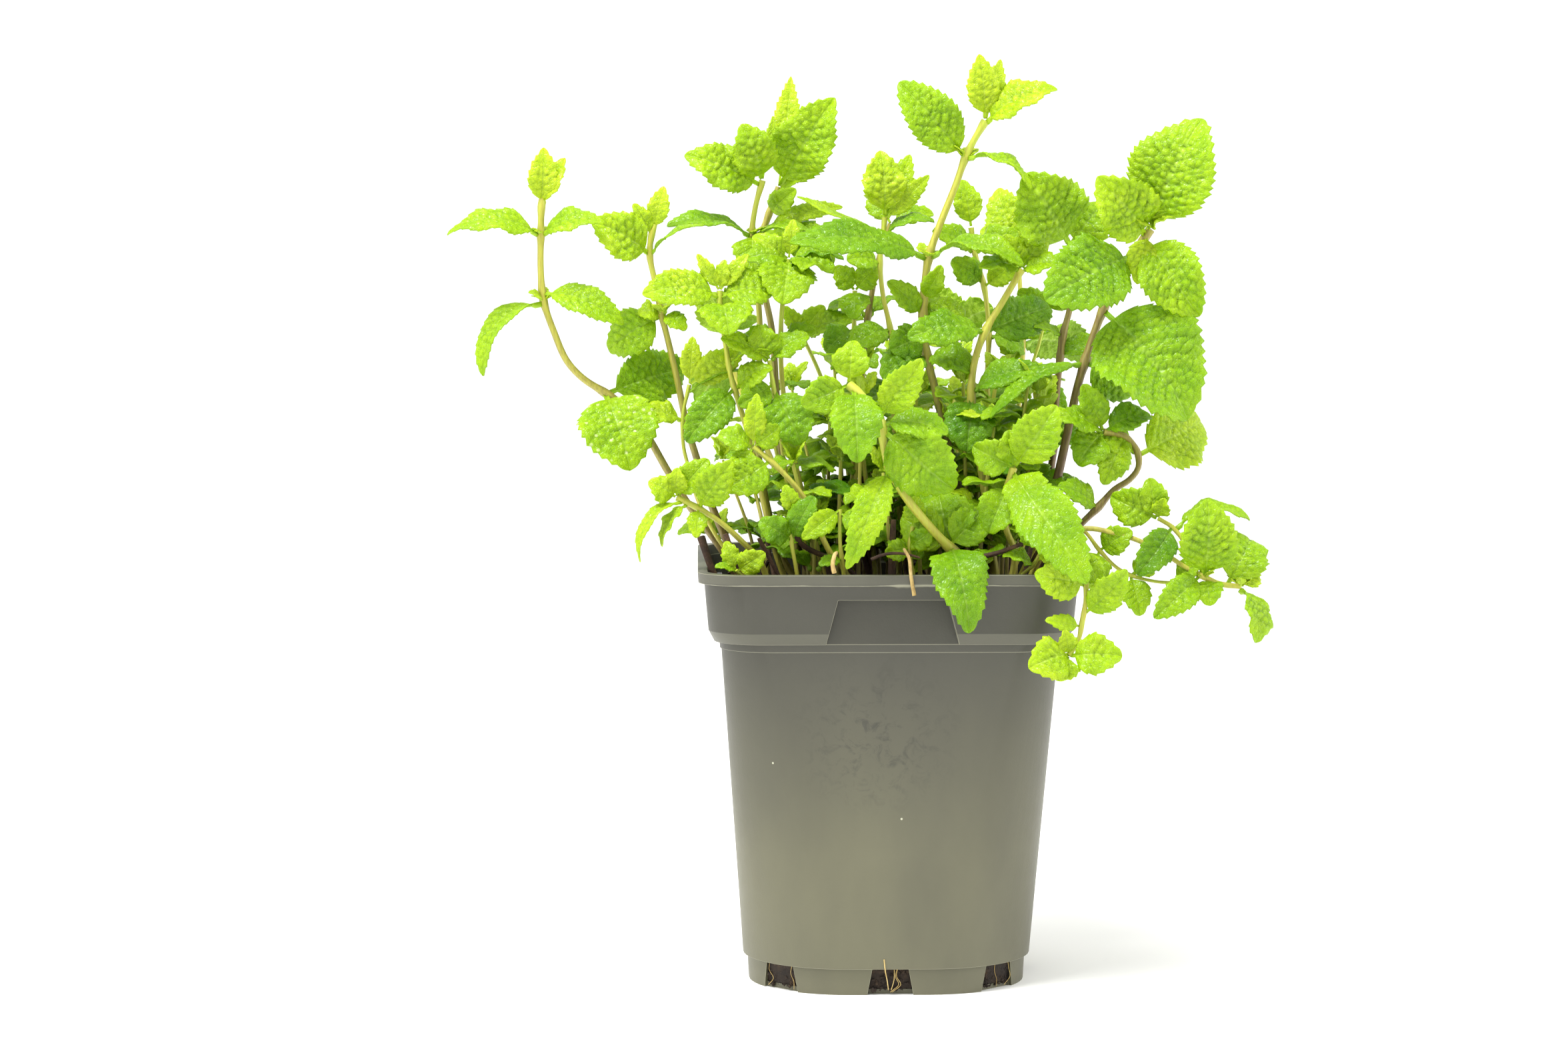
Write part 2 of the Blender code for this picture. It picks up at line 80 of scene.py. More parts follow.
potFinish = {
    # the upper body and collar: darker, painted shade for the shadow of the collar and leaves above
    "colour": "#3d3c32",
    "dustAndBounceLight": "#605e48",  # the lower body: settled dust, and painted light standing in for the floor's bounce
    "shade": "#37362d",  # streaks left by the flow of the melt
    "mark": "#37362c",  # where it has been handled
    "speck": "#c8c7ae",  # grains of dust
    "scuffAndHighlight": "#a9a78f",  # pale plastic, scuffed or bent, and the painted highlight on edges
    "fade": (0.100, 0.040),  # m, the heights between which the painted shade above gives way to the lighter foot
    "roughness": (0.38, 0.54),
    "streakSize": 30,  # mm
    "streakSquash": 0.4,  # streaks are drawn out upwards
    "shadeShare": 0.45,
    "grainSize": 0.6,  # mm
    "grainDepth": 0.12,  # mm
    "smudgeSize": 4.1,  # mm
    "markPlace": (-0.004, -0.046, 0.076),  # m
    "markReach": (0.026, 0.006),  # m from there, where the marks end and where they are full
    "markShare": 0.85,
    "markElsewhere": 0.06,
    "speckSpacing": 21,  # mm
    "speckEdge": (0.018, 0.012),  # as shares of the spacing
    "speckShare": 0.8,
    "flashHeight": 0.117,  # m, where the lip's underside left a line of flash
    "flashHalf": 0.00022,  # m
    "flashWander": 0.0007,  # m
    "wanderSize": 8.3,  # mm
    "flashShare": 0.75,
    "tornAt": 0.0095,  # m, the middle of the stretch where the flash is thick and torn
    "tornHalf": (0.011, 0.008),  # m
    "tornSwell": 5.0,
    "lipHeights": (0.1170, 0.1176),  # m
    "lipShare": 0.10,
}


def makePotMaterial(name, wearAndHighlight):
    # Recycled polypropylene, injection moulded: a soft sheen, faint flow streaks, a fine grain, painted shade
    # above, dust and painted floor light below, marks from hands, and paler scuffed edges with painted
    # highlight on them.
    made, tree = newMaterial(name)
    where = addNode(tree, "ShaderNodeTexCoord").outputs["Object"]
    height = addNode(tree, "ShaderNodeSeparateXYZ", {"Vector": where})
    # darker towards the top with painted shade, lighter towards the foot with dust and painted floor light
    low = addNode(tree, "ShaderNodeMapRange", {
        "Value": height.outputs["Z"], "From Min": potFinish["fade"][0], "From Max": potFinish["fade"][1]})
    base = addNode(tree, "ShaderNodeMix", {
        0: low.outputs[0], 6: linear(potFinish["colour"]), 7: linear(potFinish["dustAndBounceLight"])}, data_type="RGBA")
    stretch = addNode(tree, "ShaderNodeMapping", {
        "Vector": where, "Scale": (1.0, 1.0, potFinish["streakSquash"])})
    streak = addNode(tree, "ShaderNodeTexNoise", {
        "Vector": stretch.outputs[0], "Scale": 1000 / potFinish["streakSize"], "Detail": 4.0})
    shaded = addNode(tree, "ShaderNodeMapRange", {
        "Value": streak.outputs["Fac"], "From Min": 0.4, "From Max": 0.75, "To Max": potFinish["shadeShare"]})
    flow = addNode(tree, "ShaderNodeMix", {
        0: shaded.outputs[0], 6: base.outputs[2], 7: linear(potFinish["shade"])}, data_type="RGBA")
    # handling marks gather in the middle of the front
    smudge = addNode(tree, "ShaderNodeTexNoise", {
        "Vector": where, "Scale": 1000 / potFinish["smudgeSize"], "Detail": 7.0, "Roughness": 0.72,
        "Distortion": 0.8})
    reach = addNode(tree, "ShaderNodeVectorMath", {0: where, 1: potFinish["markPlace"]}, operation="DISTANCE")
    handled = addNode(tree, "ShaderNodeMapRange", {
        "Value": reach.outputs["Value"], "From Min": potFinish["markReach"][0],
        "From Max": potFinish["markReach"][1]})
    marks = addNode(tree, "ShaderNodeMapRange", {
        "Value": smudge.outputs["Fac"], "From Min": 0.5, "From Max": 0.64, "To Max": potFinish["markShare"]})
    amount = addNode(tree, "ShaderNodeMath", {
        0: marks.outputs[0], 1: handled.outputs[0], 2: potFinish["markElsewhere"]}, operation="MULTIPLY_ADD")
    dirty = addNode(tree, "ShaderNodeMix", {
        0: amount.outputs[0], 6: flow.outputs[2], 7: linear(potFinish["mark"])}, data_type="RGBA")
    speck = addNode(tree, "ShaderNodeTexVoronoi", {
        "Vector": where, "Scale": 1000 / potFinish["speckSpacing"]})
    dotted = addNode(tree, "ShaderNodeMapRange", {
        "Value": speck.outputs["Distance"], "From Min": potFinish["speckEdge"][0],
        "From Max": potFinish["speckEdge"][1], "To Max": potFinish["speckShare"]})
    specked = addNode(tree, "ShaderNodeMix", {
        0: dotted.outputs[0], 6: dirty.outputs[2], 7: linear(potFinish["speck"])}, data_type="RGBA")
    # the whitened flash under the lip, thick and torn on a short stretch
    wander = addNode(tree, "ShaderNodeTexNoise", {
        "Vector": where, "Scale": 1000 / potFinish["wanderSize"], "Detail": 4.0})
    offset = addNode(tree, "ShaderNodeMath", {
        0: wander.outputs["Fac"], 1: potFinish["flashWander"],
        2: height.outputs["Z"]}, operation="MULTIPLY_ADD")
    band = addNode(tree, "ShaderNodeMath", {
        0: offset.outputs[0],
        1: potFinish["flashHeight"] + potFinish["flashWander"] / 2}, operation="SUBTRACT")
    close = addNode(tree, "ShaderNodeMath", {0: band.outputs[0]}, operation="ABSOLUTE")
    aside = addNode(tree, "ShaderNodeMath", {
        0: height.outputs["X"], 1: potFinish["tornAt"]}, operation="SUBTRACT")
    off = addNode(tree, "ShaderNodeMath", {0: aside.outputs[0]}, operation="ABSOLUTE")
    torn = addNode(tree, "ShaderNodeMapRange", {
        "Value": off.outputs[0], "From Min": potFinish["tornHalf"][0], "From Max": potFinish["tornHalf"][1],
        "To Max": potFinish["tornSwell"]})
    swell = addNode(tree, "ShaderNodeMath", {
        0: torn.outputs[0], 1: wander.outputs["Fac"], 2: 1.0}, operation="MULTIPLY_ADD")
    thick = addNode(tree, "ShaderNodeMath", {
        0: swell.outputs[0], 1: potFinish["flashHalf"]}, operation="MULTIPLY")
    flash = addNode(tree, "ShaderNodeMapRange", {
        "Value": close.outputs[0], "From Min": thick.outputs[0], "From Max": 0.0,
        "To Max": potFinish["flashShare"]})
    lip = addNode(tree, "ShaderNodeMapRange", {
        "Value": height.outputs["Z"], "From Min": potFinish["lipHeights"][0],
        "From Max": potFinish["lipHeights"][1], "To Max": potFinish["lipShare"]})
    pale = addNode(tree, "ShaderNodeMath", {0: flash.outputs[0], 1: lip.outputs[0]}, operation="MAXIMUM")
    line = addNode(tree, "ShaderNodeMix", {
        0: pale.outputs[0], 6: specked.outputs[2], 7: linear(potFinish["scuffAndHighlight"])}, data_type="RGBA")
    # paler by the given share: scuffing, with painted highlight on edges and painted light on the collar's
    # foot
    wornAndLit = addNode(tree, "ShaderNodeMix", {
        0: wearAndHighlight, 6: line.outputs[2], 7: linear(potFinish["scuffAndHighlight"])}, data_type="RGBA")
    rough = addNode(tree, "ShaderNodeMapRange", {
        "Value": smudge.outputs["Fac"], "To Min": potFinish["roughness"][0],
        "To Max": potFinish["roughness"][1]})
    grain = addNode(tree, "ShaderNodeTexNoise", {
        "Vector": where, "Scale": 1000 / potFinish["grainSize"], "Detail": 2.0})
    bump = addNode(tree, "ShaderNodeBump", {
        "Height": grain.outputs["Fac"], "Strength": 0.25, "Distance": potFinish["grainDepth"] * mm})
    shader = addNode(tree, "ShaderNodeBsdfPrincipled", {
        "Base Color": wornAndLit.outputs[2], "Roughness": rough.outputs[0], "Normal": bump.outputs[0], "IOR": 1.49})
    addNode(tree, "ShaderNodeOutputMaterial", {"Surface": shader.outputs[0]})
    return made


leafFinish = {
    # age of the leaf, 0 for old and 1 for newly opened: colour of each side
    "upper": [(0.0, "#599009"), (0.35, "#8ebc0d"), (0.7, "#aed114"), (1.0, "#c8df28")],
    "under": [(0.0, "#84ae34"), (0.35, "#9fc636"), (0.7, "#b5d63c"), (1.0, "#cde64c")],
    "vein": "#cfe47e",
    "grooveShade": "#41770a",  # painted shade in the net of sunken veins on the upper side
    "fleck": "#e6edb4",  # pale spots on a mottled leaf
    "veinShare": (0.17, 0.6),  # above and below
    "grooveShadeShare": 0.5,
    "quilt": 0.9,  # mm between the finest sunken veins
    "veinDepth": 0.2,  # mm
    "patchSize": 7.7,  # mm
    "patchAge": 0.16,  # how far the age wanders from patch to patch
    "fleckSpacing": 2.4,  # mm
    "fleckShare": 0.6,
    "glow": 0.36,  # share of light that passes through the blade
    "roughness": (0.29, 0.53),  # above and below
    "gloss": 0.4,
}


def makeLeafMaterial(name, stops, upper):
    # A living mint blade: quilted between sunken veins and a little glossy above, paler, matt and ribbed
    # below. It glows where light comes through it.
    made, tree = newMaterial(name)
    side = 0 if upper else 1
    where = addNode(tree, "ShaderNodeTexCoord").outputs["Object"]
    age, across, pair, fleck, grooveShade = [
        addNode(tree, "ShaderNodeAttribute", attribute_name=key).outputs["Fac"]
        for key in ("age", "across", "pair", "fleck", "grooveShade")]
    patch = addNode(tree, "ShaderNodeTexNoise", {
        "Vector": where, "Scale": 1000 / leafFinish["patchSize"], "Detail": 3.0})
    drift = addNode(tree, "ShaderNodeMapRange", {
        "Value": patch.outputs["Fac"], "From Min": 0.25, "From Max": 0.75,
        "To Min": -leafFinish["patchAge"], "To Max": leafFinish["patchAge"]})
    shifted = addNode(tree, "ShaderNodeMath", {0: drift.outputs[0], 1: age}, operation="ADD")
    colour = addNode(tree, "ShaderNodeValToRGB", {"Fac": shifted.outputs[0]})
    setRamp(colour, stops)
    # the midrib and the side veins
    away = addNode(tree, "ShaderNodeMath", {0: across}, operation="ABSOLUTE")
    midrib = addNode(tree, "ShaderNodeMapRange", {
        "Value": away.outputs[0], "From Min": 0.08, "From Max": 0.02})
    turn = addNode(tree, "ShaderNodeMath", {0: pair, 1: 0.5}, operation="PINGPONG")
    lateral = addNode(tree, "ShaderNodeMapRange", {
        "Value": turn.outputs[0], "From Min": 0.05, "From Max": 0.01, "To Max": 0.6})
    ribs = addNode(tree, "ShaderNodeMath", {0: midrib.outputs[0], 1: lateral.outputs[0]}, operation="MAXIMUM")
    share = addNode(tree, "ShaderNodeMath", {
        0: ribs.outputs[0], 1: leafFinish["veinShare"][side]}, operation="MULTIPLY")
    veined = addNode(tree, "ShaderNodeMix", {
        0: share.outputs[0], 6: colour.outputs[0], 7: linear(leafFinish["vein"])}, data_type="RGBA")
    # painted shade: the upper side is darker in its sunken net
    sunken = addNode(tree, "ShaderNodeMath", {
        0: grooveShade, 1: leafFinish["grooveShadeShare"] if upper else 0.0}, operation="MULTIPLY")
    deep = addNode(tree, "ShaderNodeMix", {
        0: sunken.outputs[0], 6: veined.outputs[2], 7: linear(leafFinish["grooveShade"])}, data_type="RGBA")
    spots = addNode(tree, "ShaderNodeTexVoronoi", {
        "Vector": where, "Scale": 1000 / leafFinish["fleckSpacing"]})
    dotted = addNode(tree, "ShaderNodeMapRange", {
        "Value": spots.outputs["Distance"], "From Min": 0.26, "From Max": 0.14,
        "To Max": leafFinish["fleckShare"]})
    spotted = addNode(tree, "ShaderNodeMath", {0: dotted.outputs[0], 1: fleck}, operation="MULTIPLY")
    final = addNode(tree, "ShaderNodeMix", {
        0: spotted.outputs[0], 6: deep.outputs[2], 7: linear(leafFinish["fleck"])}, data_type="RGBA")
    # the finest net is relief only, sunken above and raised below
    net = addNode(tree, "ShaderNodeTexVoronoi", {
        "Vector": where, "Scale": 1000 / leafFinish["quilt"]}, feature="DISTANCE_TO_EDGE")
    mesh = addNode(tree, "ShaderNodeMapRange", {
        "Value": net.outputs["Distance"], "From Min": 0.16, "From Max": 0.02, "To Max": 0.5})
    veins = addNode(tree, "ShaderNodeMath", {0: ribs.outputs[0], 1: mesh.outputs[0]}, operation="MAXIMUM")
    relief = addNode(tree, "ShaderNodeMath", {
        0: veins.outputs[0], 1: -1.0 if upper else 1.0}, operation="MULTIPLY")
    bump = addNode(tree, "ShaderNodeBump", {
        "Height": relief.outputs[0], "Strength": 0.8 if upper else 0.9,
        "Distance": leafFinish["veinDepth"] * mm})
    shader = addNode(tree, "ShaderNodeBsdfPrincipled", {
        "Base Color": final.outputs[2], "Roughness": leafFinish["roughness"][side], "IOR": 1.45,
        "Specular IOR Level": leafFinish["gloss"], "Normal": bump.outputs[0]})
    glow = addNode(tree, "ShaderNodeBsdfTranslucent", {"Color": final.outputs[2], "Normal": bump.outputs[0]})
    both = addNode(tree, "ShaderNodeMixShader", {
        0: leafFinish["glow"], 1: shader.outputs[0], 2: glow.outputs[0]})
    addNode(tree, "ShaderNodeOutputMaterial", {"Surface": both.outputs[0]})
    return made


stemFinish = {
    # woodiness, 0 for green growth and 1 for the old foot: colour of the skin
    "skin": [(0.0, "#b4c83a"), (0.25, "#b0ab3e"), (0.5, "#8c8238"), (0.75, "#6b5131"), (1.0, "#4c3128")],
    "roughness": 0.5,
    "ribWidth": 0.7,  # mm
    "ribStretch": 0.12,  # ribs are drawn out upwards
    "ribDepth": 0.1,  # mm
    "wander": 0.1,  # how far the woodiness wanders from rib to rib
}


def makeStemMaterial():
    # The skin of a mint stem: waxy and yellow-green when young, purple-brown and duller at the foot.
    made, tree = newMaterial("mint_stem_skin")
    where = addNode(tree, "ShaderNodeTexCoord").outputs["Object"]
    wood = addNode(tree, "ShaderNodeAttribute", attribute_name="wood").outputs["Fac"]
    stretch = addNode(tree, "ShaderNodeMapping", {
        "Vector": where, "Scale": (1.0, 1.0, stemFinish["ribStretch"])})
    streak = addNode(tree, "ShaderNodeTexNoise", {
        "Vector": stretch.outputs[0], "Scale": 1000 / stemFinish["ribWidth"], "Detail": 3.0})
    drift = addNode(tree, "ShaderNodeMapRange", {
        "Value": streak.outputs["Fac"], "From Min": 0.3, "From Max": 0.7,
        "To Min": -stemFinish["wander"], "To Max": stemFinish["wander"]})
    shifted = addNode(tree, "ShaderNodeMath", {0: drift.outputs[0], 1: wood}, operation="ADD")
    colour = addNode(tree, "ShaderNodeValToRGB", {"Fac": shifted.outputs[0]})
    setRamp(colour, stemFinish["skin"])
    bump = addNode(tree, "ShaderNodeBump", {
        "Height": streak.outputs["Fac"], "Strength": 0.4, "Distance": stemFinish["ribDepth"] * mm})
    shader = addNode(tree, "ShaderNodeBsdfPrincipled", {
        "Base Color": colour.outputs[0], "Roughness": stemFinish["roughness"], "Normal": bump.outputs[0]})
    addNode(tree, "ShaderNodeOutputMaterial", {"Surface": shader.outputs[0]})
    return made


earthFinish = {
    # colours from its darkest to its palest parts, size of a patch in mm, roughness
    "peat_potting_mix": ([(0.3, "#14100b"), (0.55, "#2c2118"), (0.75, "#4a3826")], 4.0, 0.95),
    "composted_bark": ([(0.3, "#1c150e"), (0.5, "#3a2c1e"), (0.75, "#6d5538")], 9.0, 0.9),
    "dry_root_fibre": ([(0.3, "#8a6f3f"), (0.5, "#b59a5e"), (0.75, "#d2bf84")], 6.0, 0.8),
    "withered_stem": ([(0.3, "#2b1a12"), (0.5, "#47301f"), (0.75, "#6e5233")], 6.0, 0.8),
}
earthGrain = {"size": 0.4, "depth": 0.3}  # mm


def makeEarthMaterial(name):
    # Peat, composted bark, dry root fibre and withered stem: all rough and matt, and uneven in colour.
    stops, size, roughness = earthFinish[name]
    made, tree = newMaterial(name)
    where = addNode(tree, "ShaderNodeTexCoord").outputs["Object"]
    broad = addNode(tree, "ShaderNodeTexNoise", {
        "Vector": where, "Scale": 1000 / size, "Detail": 6.0, "Roughness": 0.7})
    colour = addNode(tree, "ShaderNodeValToRGB", {"Fac": broad.outputs["Fac"]})
    setRamp(colour, stops)
    fine = addNode(tree, "ShaderNodeTexNoise", {
        "Vector": where, "Scale": 1000 / earthGrain["size"], "Detail": 4.0})
    bump = addNode(tree, "ShaderNodeBump", {
        "Height": fine.outputs["Fac"], "Strength": 0.8, "Distance": earthGrain["depth"] * mm})
    shader = addNode(tree, "ShaderNodeBsdfPrincipled", {
        "Base Color": colour.outputs[0], "Roughness": roughness, "Normal": bump.outputs[0]})
    addNode(tree, "ShaderNodeOutputMaterial", {"Surface": shader.outputs[0]})
    return made


potPlastic = makePotMaterial("moulded_polypropylene", 0.0)
# paler edges: scuffing and painted highlight
wornAndHighlitPlastic = makePotMaterial("worn_polypropylene_edge_painted_highlight", 0.5)
# the collar's sloping foot: painted light from the floor's bounce
collarFootLitPlastic = makePotMaterial("polypropylene_collar_foot_painted_light", 0.10)
leafUpper = makeLeafMaterial("mint_leaf_upper_side", leafFinish["upper"], True)
leafUnder = makeLeafMaterial("mint_leaf_underside", leafFinish["under"], False)
stemSkin = makeStemMaterial()
peat, bark, dryFibre, deadStem = [makeEarthMaterial(name) for name in earthFinish]
print("finishes made")


def newPiece(name, mesh, slot, *materials):
    made = bpy.data.objects.new(name, mesh)
    bpy.context.scene.collection.objects.link(made)
    for material in materials:
        made.data.materials.append(material)
    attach(made, "root")
    return made


def workingObject(name, data):
    # an object to build with; flatten removes it, while the lamps, floor and camera made with it stay
    made = bpy.data.objects.new(name, data)
    bpy.context.scene.collection.objects.link(made)
    return made


def meshFrom(shape, name):
    mesh = bpy.data.meshes.new(name)
    shape.to_mesh(mesh)
    shape.free()
    return mesh


def flatten(item, name):
    # the evaluated shape as a plain mesh, with the working object and its modifiers gone
    bpy.context.view_layer.update()
    graph = bpy.context.evaluated_depsgraph_get()
    mesh = bpy.data.meshes.new_from_object(item.evaluated_get(graph), depsgraph=graph)
    mesh.name = name
    bpy.data.objects.remove(item, do_unlink=True)
    return mesh


def growOn(item, tree, values, name):
    # runs a node tree on a working object and returns the plain mesh
    modifier = item.modifiers.new(tree.name, "NODES")
    modifier.node_group = tree
    for socket in tree.interface.items_tree:
        if socket.in_out == "INPUT" and socket.name in values:
            modifier[socket.identifier] = values[socket.name]
    return flatten(item, name)


pot = {
    # m
    "height": 0.120, "rimHalf": 0.0540, "lipHeight": 0.0030, "collarHeight": 0.0198, "wall": 0.0014,
    "footHeight": 0.0076, "footHalf": 0.0398, "footDraft": 0.0004, "footCorner": 0.0288,
    "bodyHalfLow": 0.0411, "bodyHalfHigh": 0.0480, "cornerLow": 0.0300, "cornerHigh": 0.0150,
    "bandHeight": 0.0023, "bandStep": 0.0004, "bandDraft": 0.0002,
    "collarHalf": 0.0522, "collarDraft": 0.0012, "collarCorner": 0.0130,
    "collarEase": 0.0016, "easeHeight": 0.0032,  # the sloping foot of the collar
    "rimDraft": 0.0002, "rimCorner": 0.0125, "mouthHalf": 0.0514, "gap": 0.0003,
    "panelTop": 0.0152, "panelBottom": 0.0186, "panelHeight": 0.0127,
    "notchTop": 0.0051, "notchBottom": 0.0067, "notchRoof": 0.0074,
    "notchSide": 0.0374, "notchCorner": 0.0420,  # how far out the notches start
    "overshoot": 0.001, "outside": 0.060,  # how far the cutters pass the plastic
    "cornerSteps": 14, "edgeRound": 0.00038, "edgeSteps": 2,
    "edgeAngle": 0.6, "sharpAngle": 0.35,  # radians
}


def roundedSquare(half, corner, z, steps):
    ring = []
    for quarter in range(4):
        centre = Matrix.Rotation(quarter * pi / 2, 3, "Z") @ Vector((half - corner, half - corner, 0))
        for step in range(steps + 1):
            angle = quarter * pi / 2 + step * pi / 2 / steps
            ring.append(centre + corner * Vector((cos(angle), sin(angle), 0)) + Vector((0, 0, z)))
    return ring


def loft(name, sections, steps):
    # a closed solid through rounded squares given as (height, half-width, corner radius)
    shape = bmesh.new()
    rings = []
    for z, half, corner in sections:
        rings.append([shape.verts.new(p) for p in roundedSquare(half, corner, z, steps)])
    for low, high in zip(rings, rings[1:]):
        for i in range(len(low)):
            j = (i + 1) % len(low)
            shape.faces.new((low[i], low[j], high[j], high[i]))
    shape.faces.new(list(reversed(rings[0])))
    shape.faces.new(rings[-1])
    bmesh.ops.recalc_face_normals(shape, faces=shape.faces)
    return workingObject(name, meshFrom(shape, name))


def wedge(name, near, far, low, high, halfLow, halfHigh, turn):
    # a block from near to far whose half-width changes with height, turned about the pot's axis
    shape = bmesh.new()
    bmesh.ops.create_cube(shape, size=1)
    for vert in shape.verts:
        x = far if vert.co.x > 0 else near
        z = high if vert.co.z > 0 else low
        half = halfHigh if vert.co.z > 0 else halfLow
        vert.co = Vector((x, half if vert.co.y > 0 else -half, z))
    bmesh.ops.rotate(shape, verts=shape.verts, matrix=Matrix.Rotation(turn, 3, "Z"))
    return workingObject(name, meshFrom(shape, name))


def cut(body, cutter):
    boolean = body.modifiers.new("cut_" + cutter.name, "BOOLEAN")
    boolean.operation = "DIFFERENCE"
    boolean.solver = "EXACT"
    boolean.object = cutter
    return cutter


collarLow = pot["height"] - pot["collarHeight"]
lipLow = pot["height"] - pot["lipHeight"]
bandLow = collarLow - pot["bandHeight"]
bandHalf = pot["bodyHalfHigh"] - pot["bandDraft"]
collarFoot = pot["collarHalf"] - pot["collarDraft"]


def potOutside():
    cornerHigh, collarCorner = pot["cornerHigh"], pot["collarCorner"]
    return loft("pot_outside", [
        (0.0, pot["footHalf"] - pot["footDraft"], pot["footCorner"] - pot["footDraft"]),
        (pot["footHeight"], pot["footHalf"], pot["footCorner"]),
        (pot["footHeight"], pot["bodyHalfLow"], pot["cornerLow"]),
        (bandLow, bandHalf - pot["bandStep"], cornerHigh),
        (bandLow, bandHalf, cornerHigh),
        (collarLow, pot["bodyHalfHigh"], cornerHigh),
        (collarLow, collarFoot - pot["collarEase"], collarCorner),
        (collarLow + pot["easeHeight"], collarFoot, collarCorner),
        (lipLow, pot["collarHalf"], collarCorner),
        (lipLow, pot["rimHalf"] - pot["rimDraft"], pot["rimCorner"]),
        (pot["height"], pot["rimHalf"], pot["rimCorner"]),
    ], pot["cornerSteps"])


def potHollow():
    wall = pot["wall"]
    cornerHigh, collarCorner = pot["cornerHigh"] - wall, pot["collarCorner"] - wall
    return loft("pot_hollow", [
        (wall, pot["footHalf"] - wall, pot["footCorner"] - wall),
        (bandLow, bandHalf - pot["bandStep"] - wall, cornerHigh),
        (collarLow + wall, pot["bodyHalfHigh"] - wall, cornerHigh),
        (collarLow + wall, collarFoot - wall, collarCorner),
        (pot["height"] + pot["overshoot"], pot["mouthHalf"], collarCorner),
    ], pot["cornerSteps"])


def cutPanels(body, hollow):
    # a recess in each side of the collar, with the wall carried round behind it
    wall, gap = pot["wall"], pot["gap"]
    top, bottom = pot["panelTop"], pot["panelBottom"]
    high = collarLow + pot["panelHeight"]
    face = pot["bodyHalfHigh"] + gap
    cutters = []
    for side in range(4):
        turn = side * pi / 2
        cutters.append(cut(body, wedge(
            f"panel_{side}", face, pot["outside"], collarLow - gap, high, bottom, top, turn)))
        cutters.append(cut(hollow, wedge(
            f"panel_wall_{side}", face - wall, pot["outside"], collarLow - pot["overshoot"], high + wall,
            bottom + wall, top + wall, turn)))
    return cutters


def cutNotches(body):
    cutters = []
    for notch in range(8):
        near = pot["notchCorner"] if notch % 2 else pot["notchSide"]
        cutters.append(cut(body, wedge(
            f"notch_{notch}", near, pot["outside"], -pot["overshoot"], pot["notchRoof"],
            pot["notchBottom"], pot["notchTop"], notch * pi / 4)))
    return cutters


def paintCollarFootLight(mesh):
    # the sloping foot of the collar faces down and is paler: painted light standing in for the floor's bounce
    mesh.materials.append(collarFootLitPlastic)
    litSlot = len(mesh.materials) - 1
    for face in mesh.polygons:
        onFoot = collarLow < face.center.z < collarLow + pot["easeHeight"] + pot["gap"]
        if onFoot and -0.7 < face.normal.z < -0.2 and face.material_index == 0:
            face.material_index = litSlot


def makePot():
    body = potOutside()
    body.data.materials.append(potPlastic)
    body.data.materials.append(wornAndHighlitPlastic)
    hollow = potHollow()
    cutters = cutPanels(body, hollow)
    cutters.append(cut(body, hollow))
    cutters += cutNotches(body)
    soft = body.modifiers.new("rounded_edges", "BEVEL")
    soft.width = pot["edgeRound"]
    soft.segments = pot["edgeSteps"]
    soft.limit_method = "ANGLE"
    soft.angle_limit = pot["edgeAngle"]
    soft.material = 1  # the rounded edges are paler: scuffing, and painted highlight where light catches them
    mesh = flatten(body, "nursery_pot_moulding")
    for cutter in cutters:
        bpy.data.objects.remove(cutter, do_unlink=True)
    paintCollarFootLight(mesh)
    mesh.shade_smooth()
    mesh.set_sharp_from_angle(angle=pot["sharpAngle"])
    made = newPiece("nursery_pot_moulding", mesh, "pot_plastic")
    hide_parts("nursery_pot")


makePot()
print("pot made")

mix = {
    "top": 0.1070, "edge": 0.1036,  # m, its height in the middle and at the wall
    "shoulder": 0.034,  # m from the middle, where it starts to fall
    "rings": 34, "firstRing": 0.0006, "lump": 0.0012,  # a count, then m
    "crumbRadius": (0.35, 1.3),  # mm
    "crumbsPerCm2": 26,
    "bareEdge": 0.0026,  # m of the margin without crumbs
    # name: (material, share of the crumbs, seed, how large beside the peat)
    "crumbs": {"peat_crumbs": (peat, 0.7, 3, 1.0), "bark_chips": (bark, 0.22, 11, 1.5)},
}


def lumps(x, y):
    # a few crossing waves stand for the uneven, watered-in surface
    swell = sin(310 * x + 1.3) * cos(270 * y)
    return (swell + 0.6 * sin(690 * y + 510 * x + 0.4) + 0.4 * cos(1310 * x - 970 * y)) / 2


def makeMix():
    steps = pot["cornerSteps"]
    inset = pot["wall"] + pot["gap"]
    widest = pot["bodyHalfHigh"] - inset
    corner = pot["cornerHigh"] - inset
    rows = []
    shape = bmesh.new()
    for ring in range(mix["rings"] + 1):
        half = mix["firstRing"] + ring / mix["rings"] * (widest - mix["firstRing"])
        row = []
        for p in roundedSquare(half, min(corner, half * 0.8), 0, steps):
            edge = max(0.0, (half - mix["shoulder"]) / (widest - mix["shoulder"]))
            height = mix["top"] + (mix["edge"] - mix["top"]) * edge * edge + mix["lump"] * lumps(p.x, p.y)
            row.append(shape.verts.new((p.x, p.y, height)))
        rows.append(row)
    below = [
        (collarLow, widest - 0.0001, corner),
        (inset, pot["footHalf"] - inset, pot["footCorner"] - inset),
    ]
    for z, half, corner in below:
        rows.append([shape.verts.new(p) for p in roundedSquare(half, corner, z, steps)])
    for a, b in zip(rows, rows[1:]):
        for i in range(len(a)):
            j = (i + 1) % len(a)
            shape.faces.new((a[i], b[i], b[j], a[j]))
    shape.faces.new(rows[0])
    shape.faces.new(list(reversed(rows[-1])))
    bmesh.ops.recalc_face_normals(shape, faces=shape.faces)
    mesh = meshFrom(shape, "potting_mix_body")
    mesh.shade_smooth()
    made = newPiece("potting_mix_body", mesh, "potting_mix", peat)
    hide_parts("potting_mix")
    return made


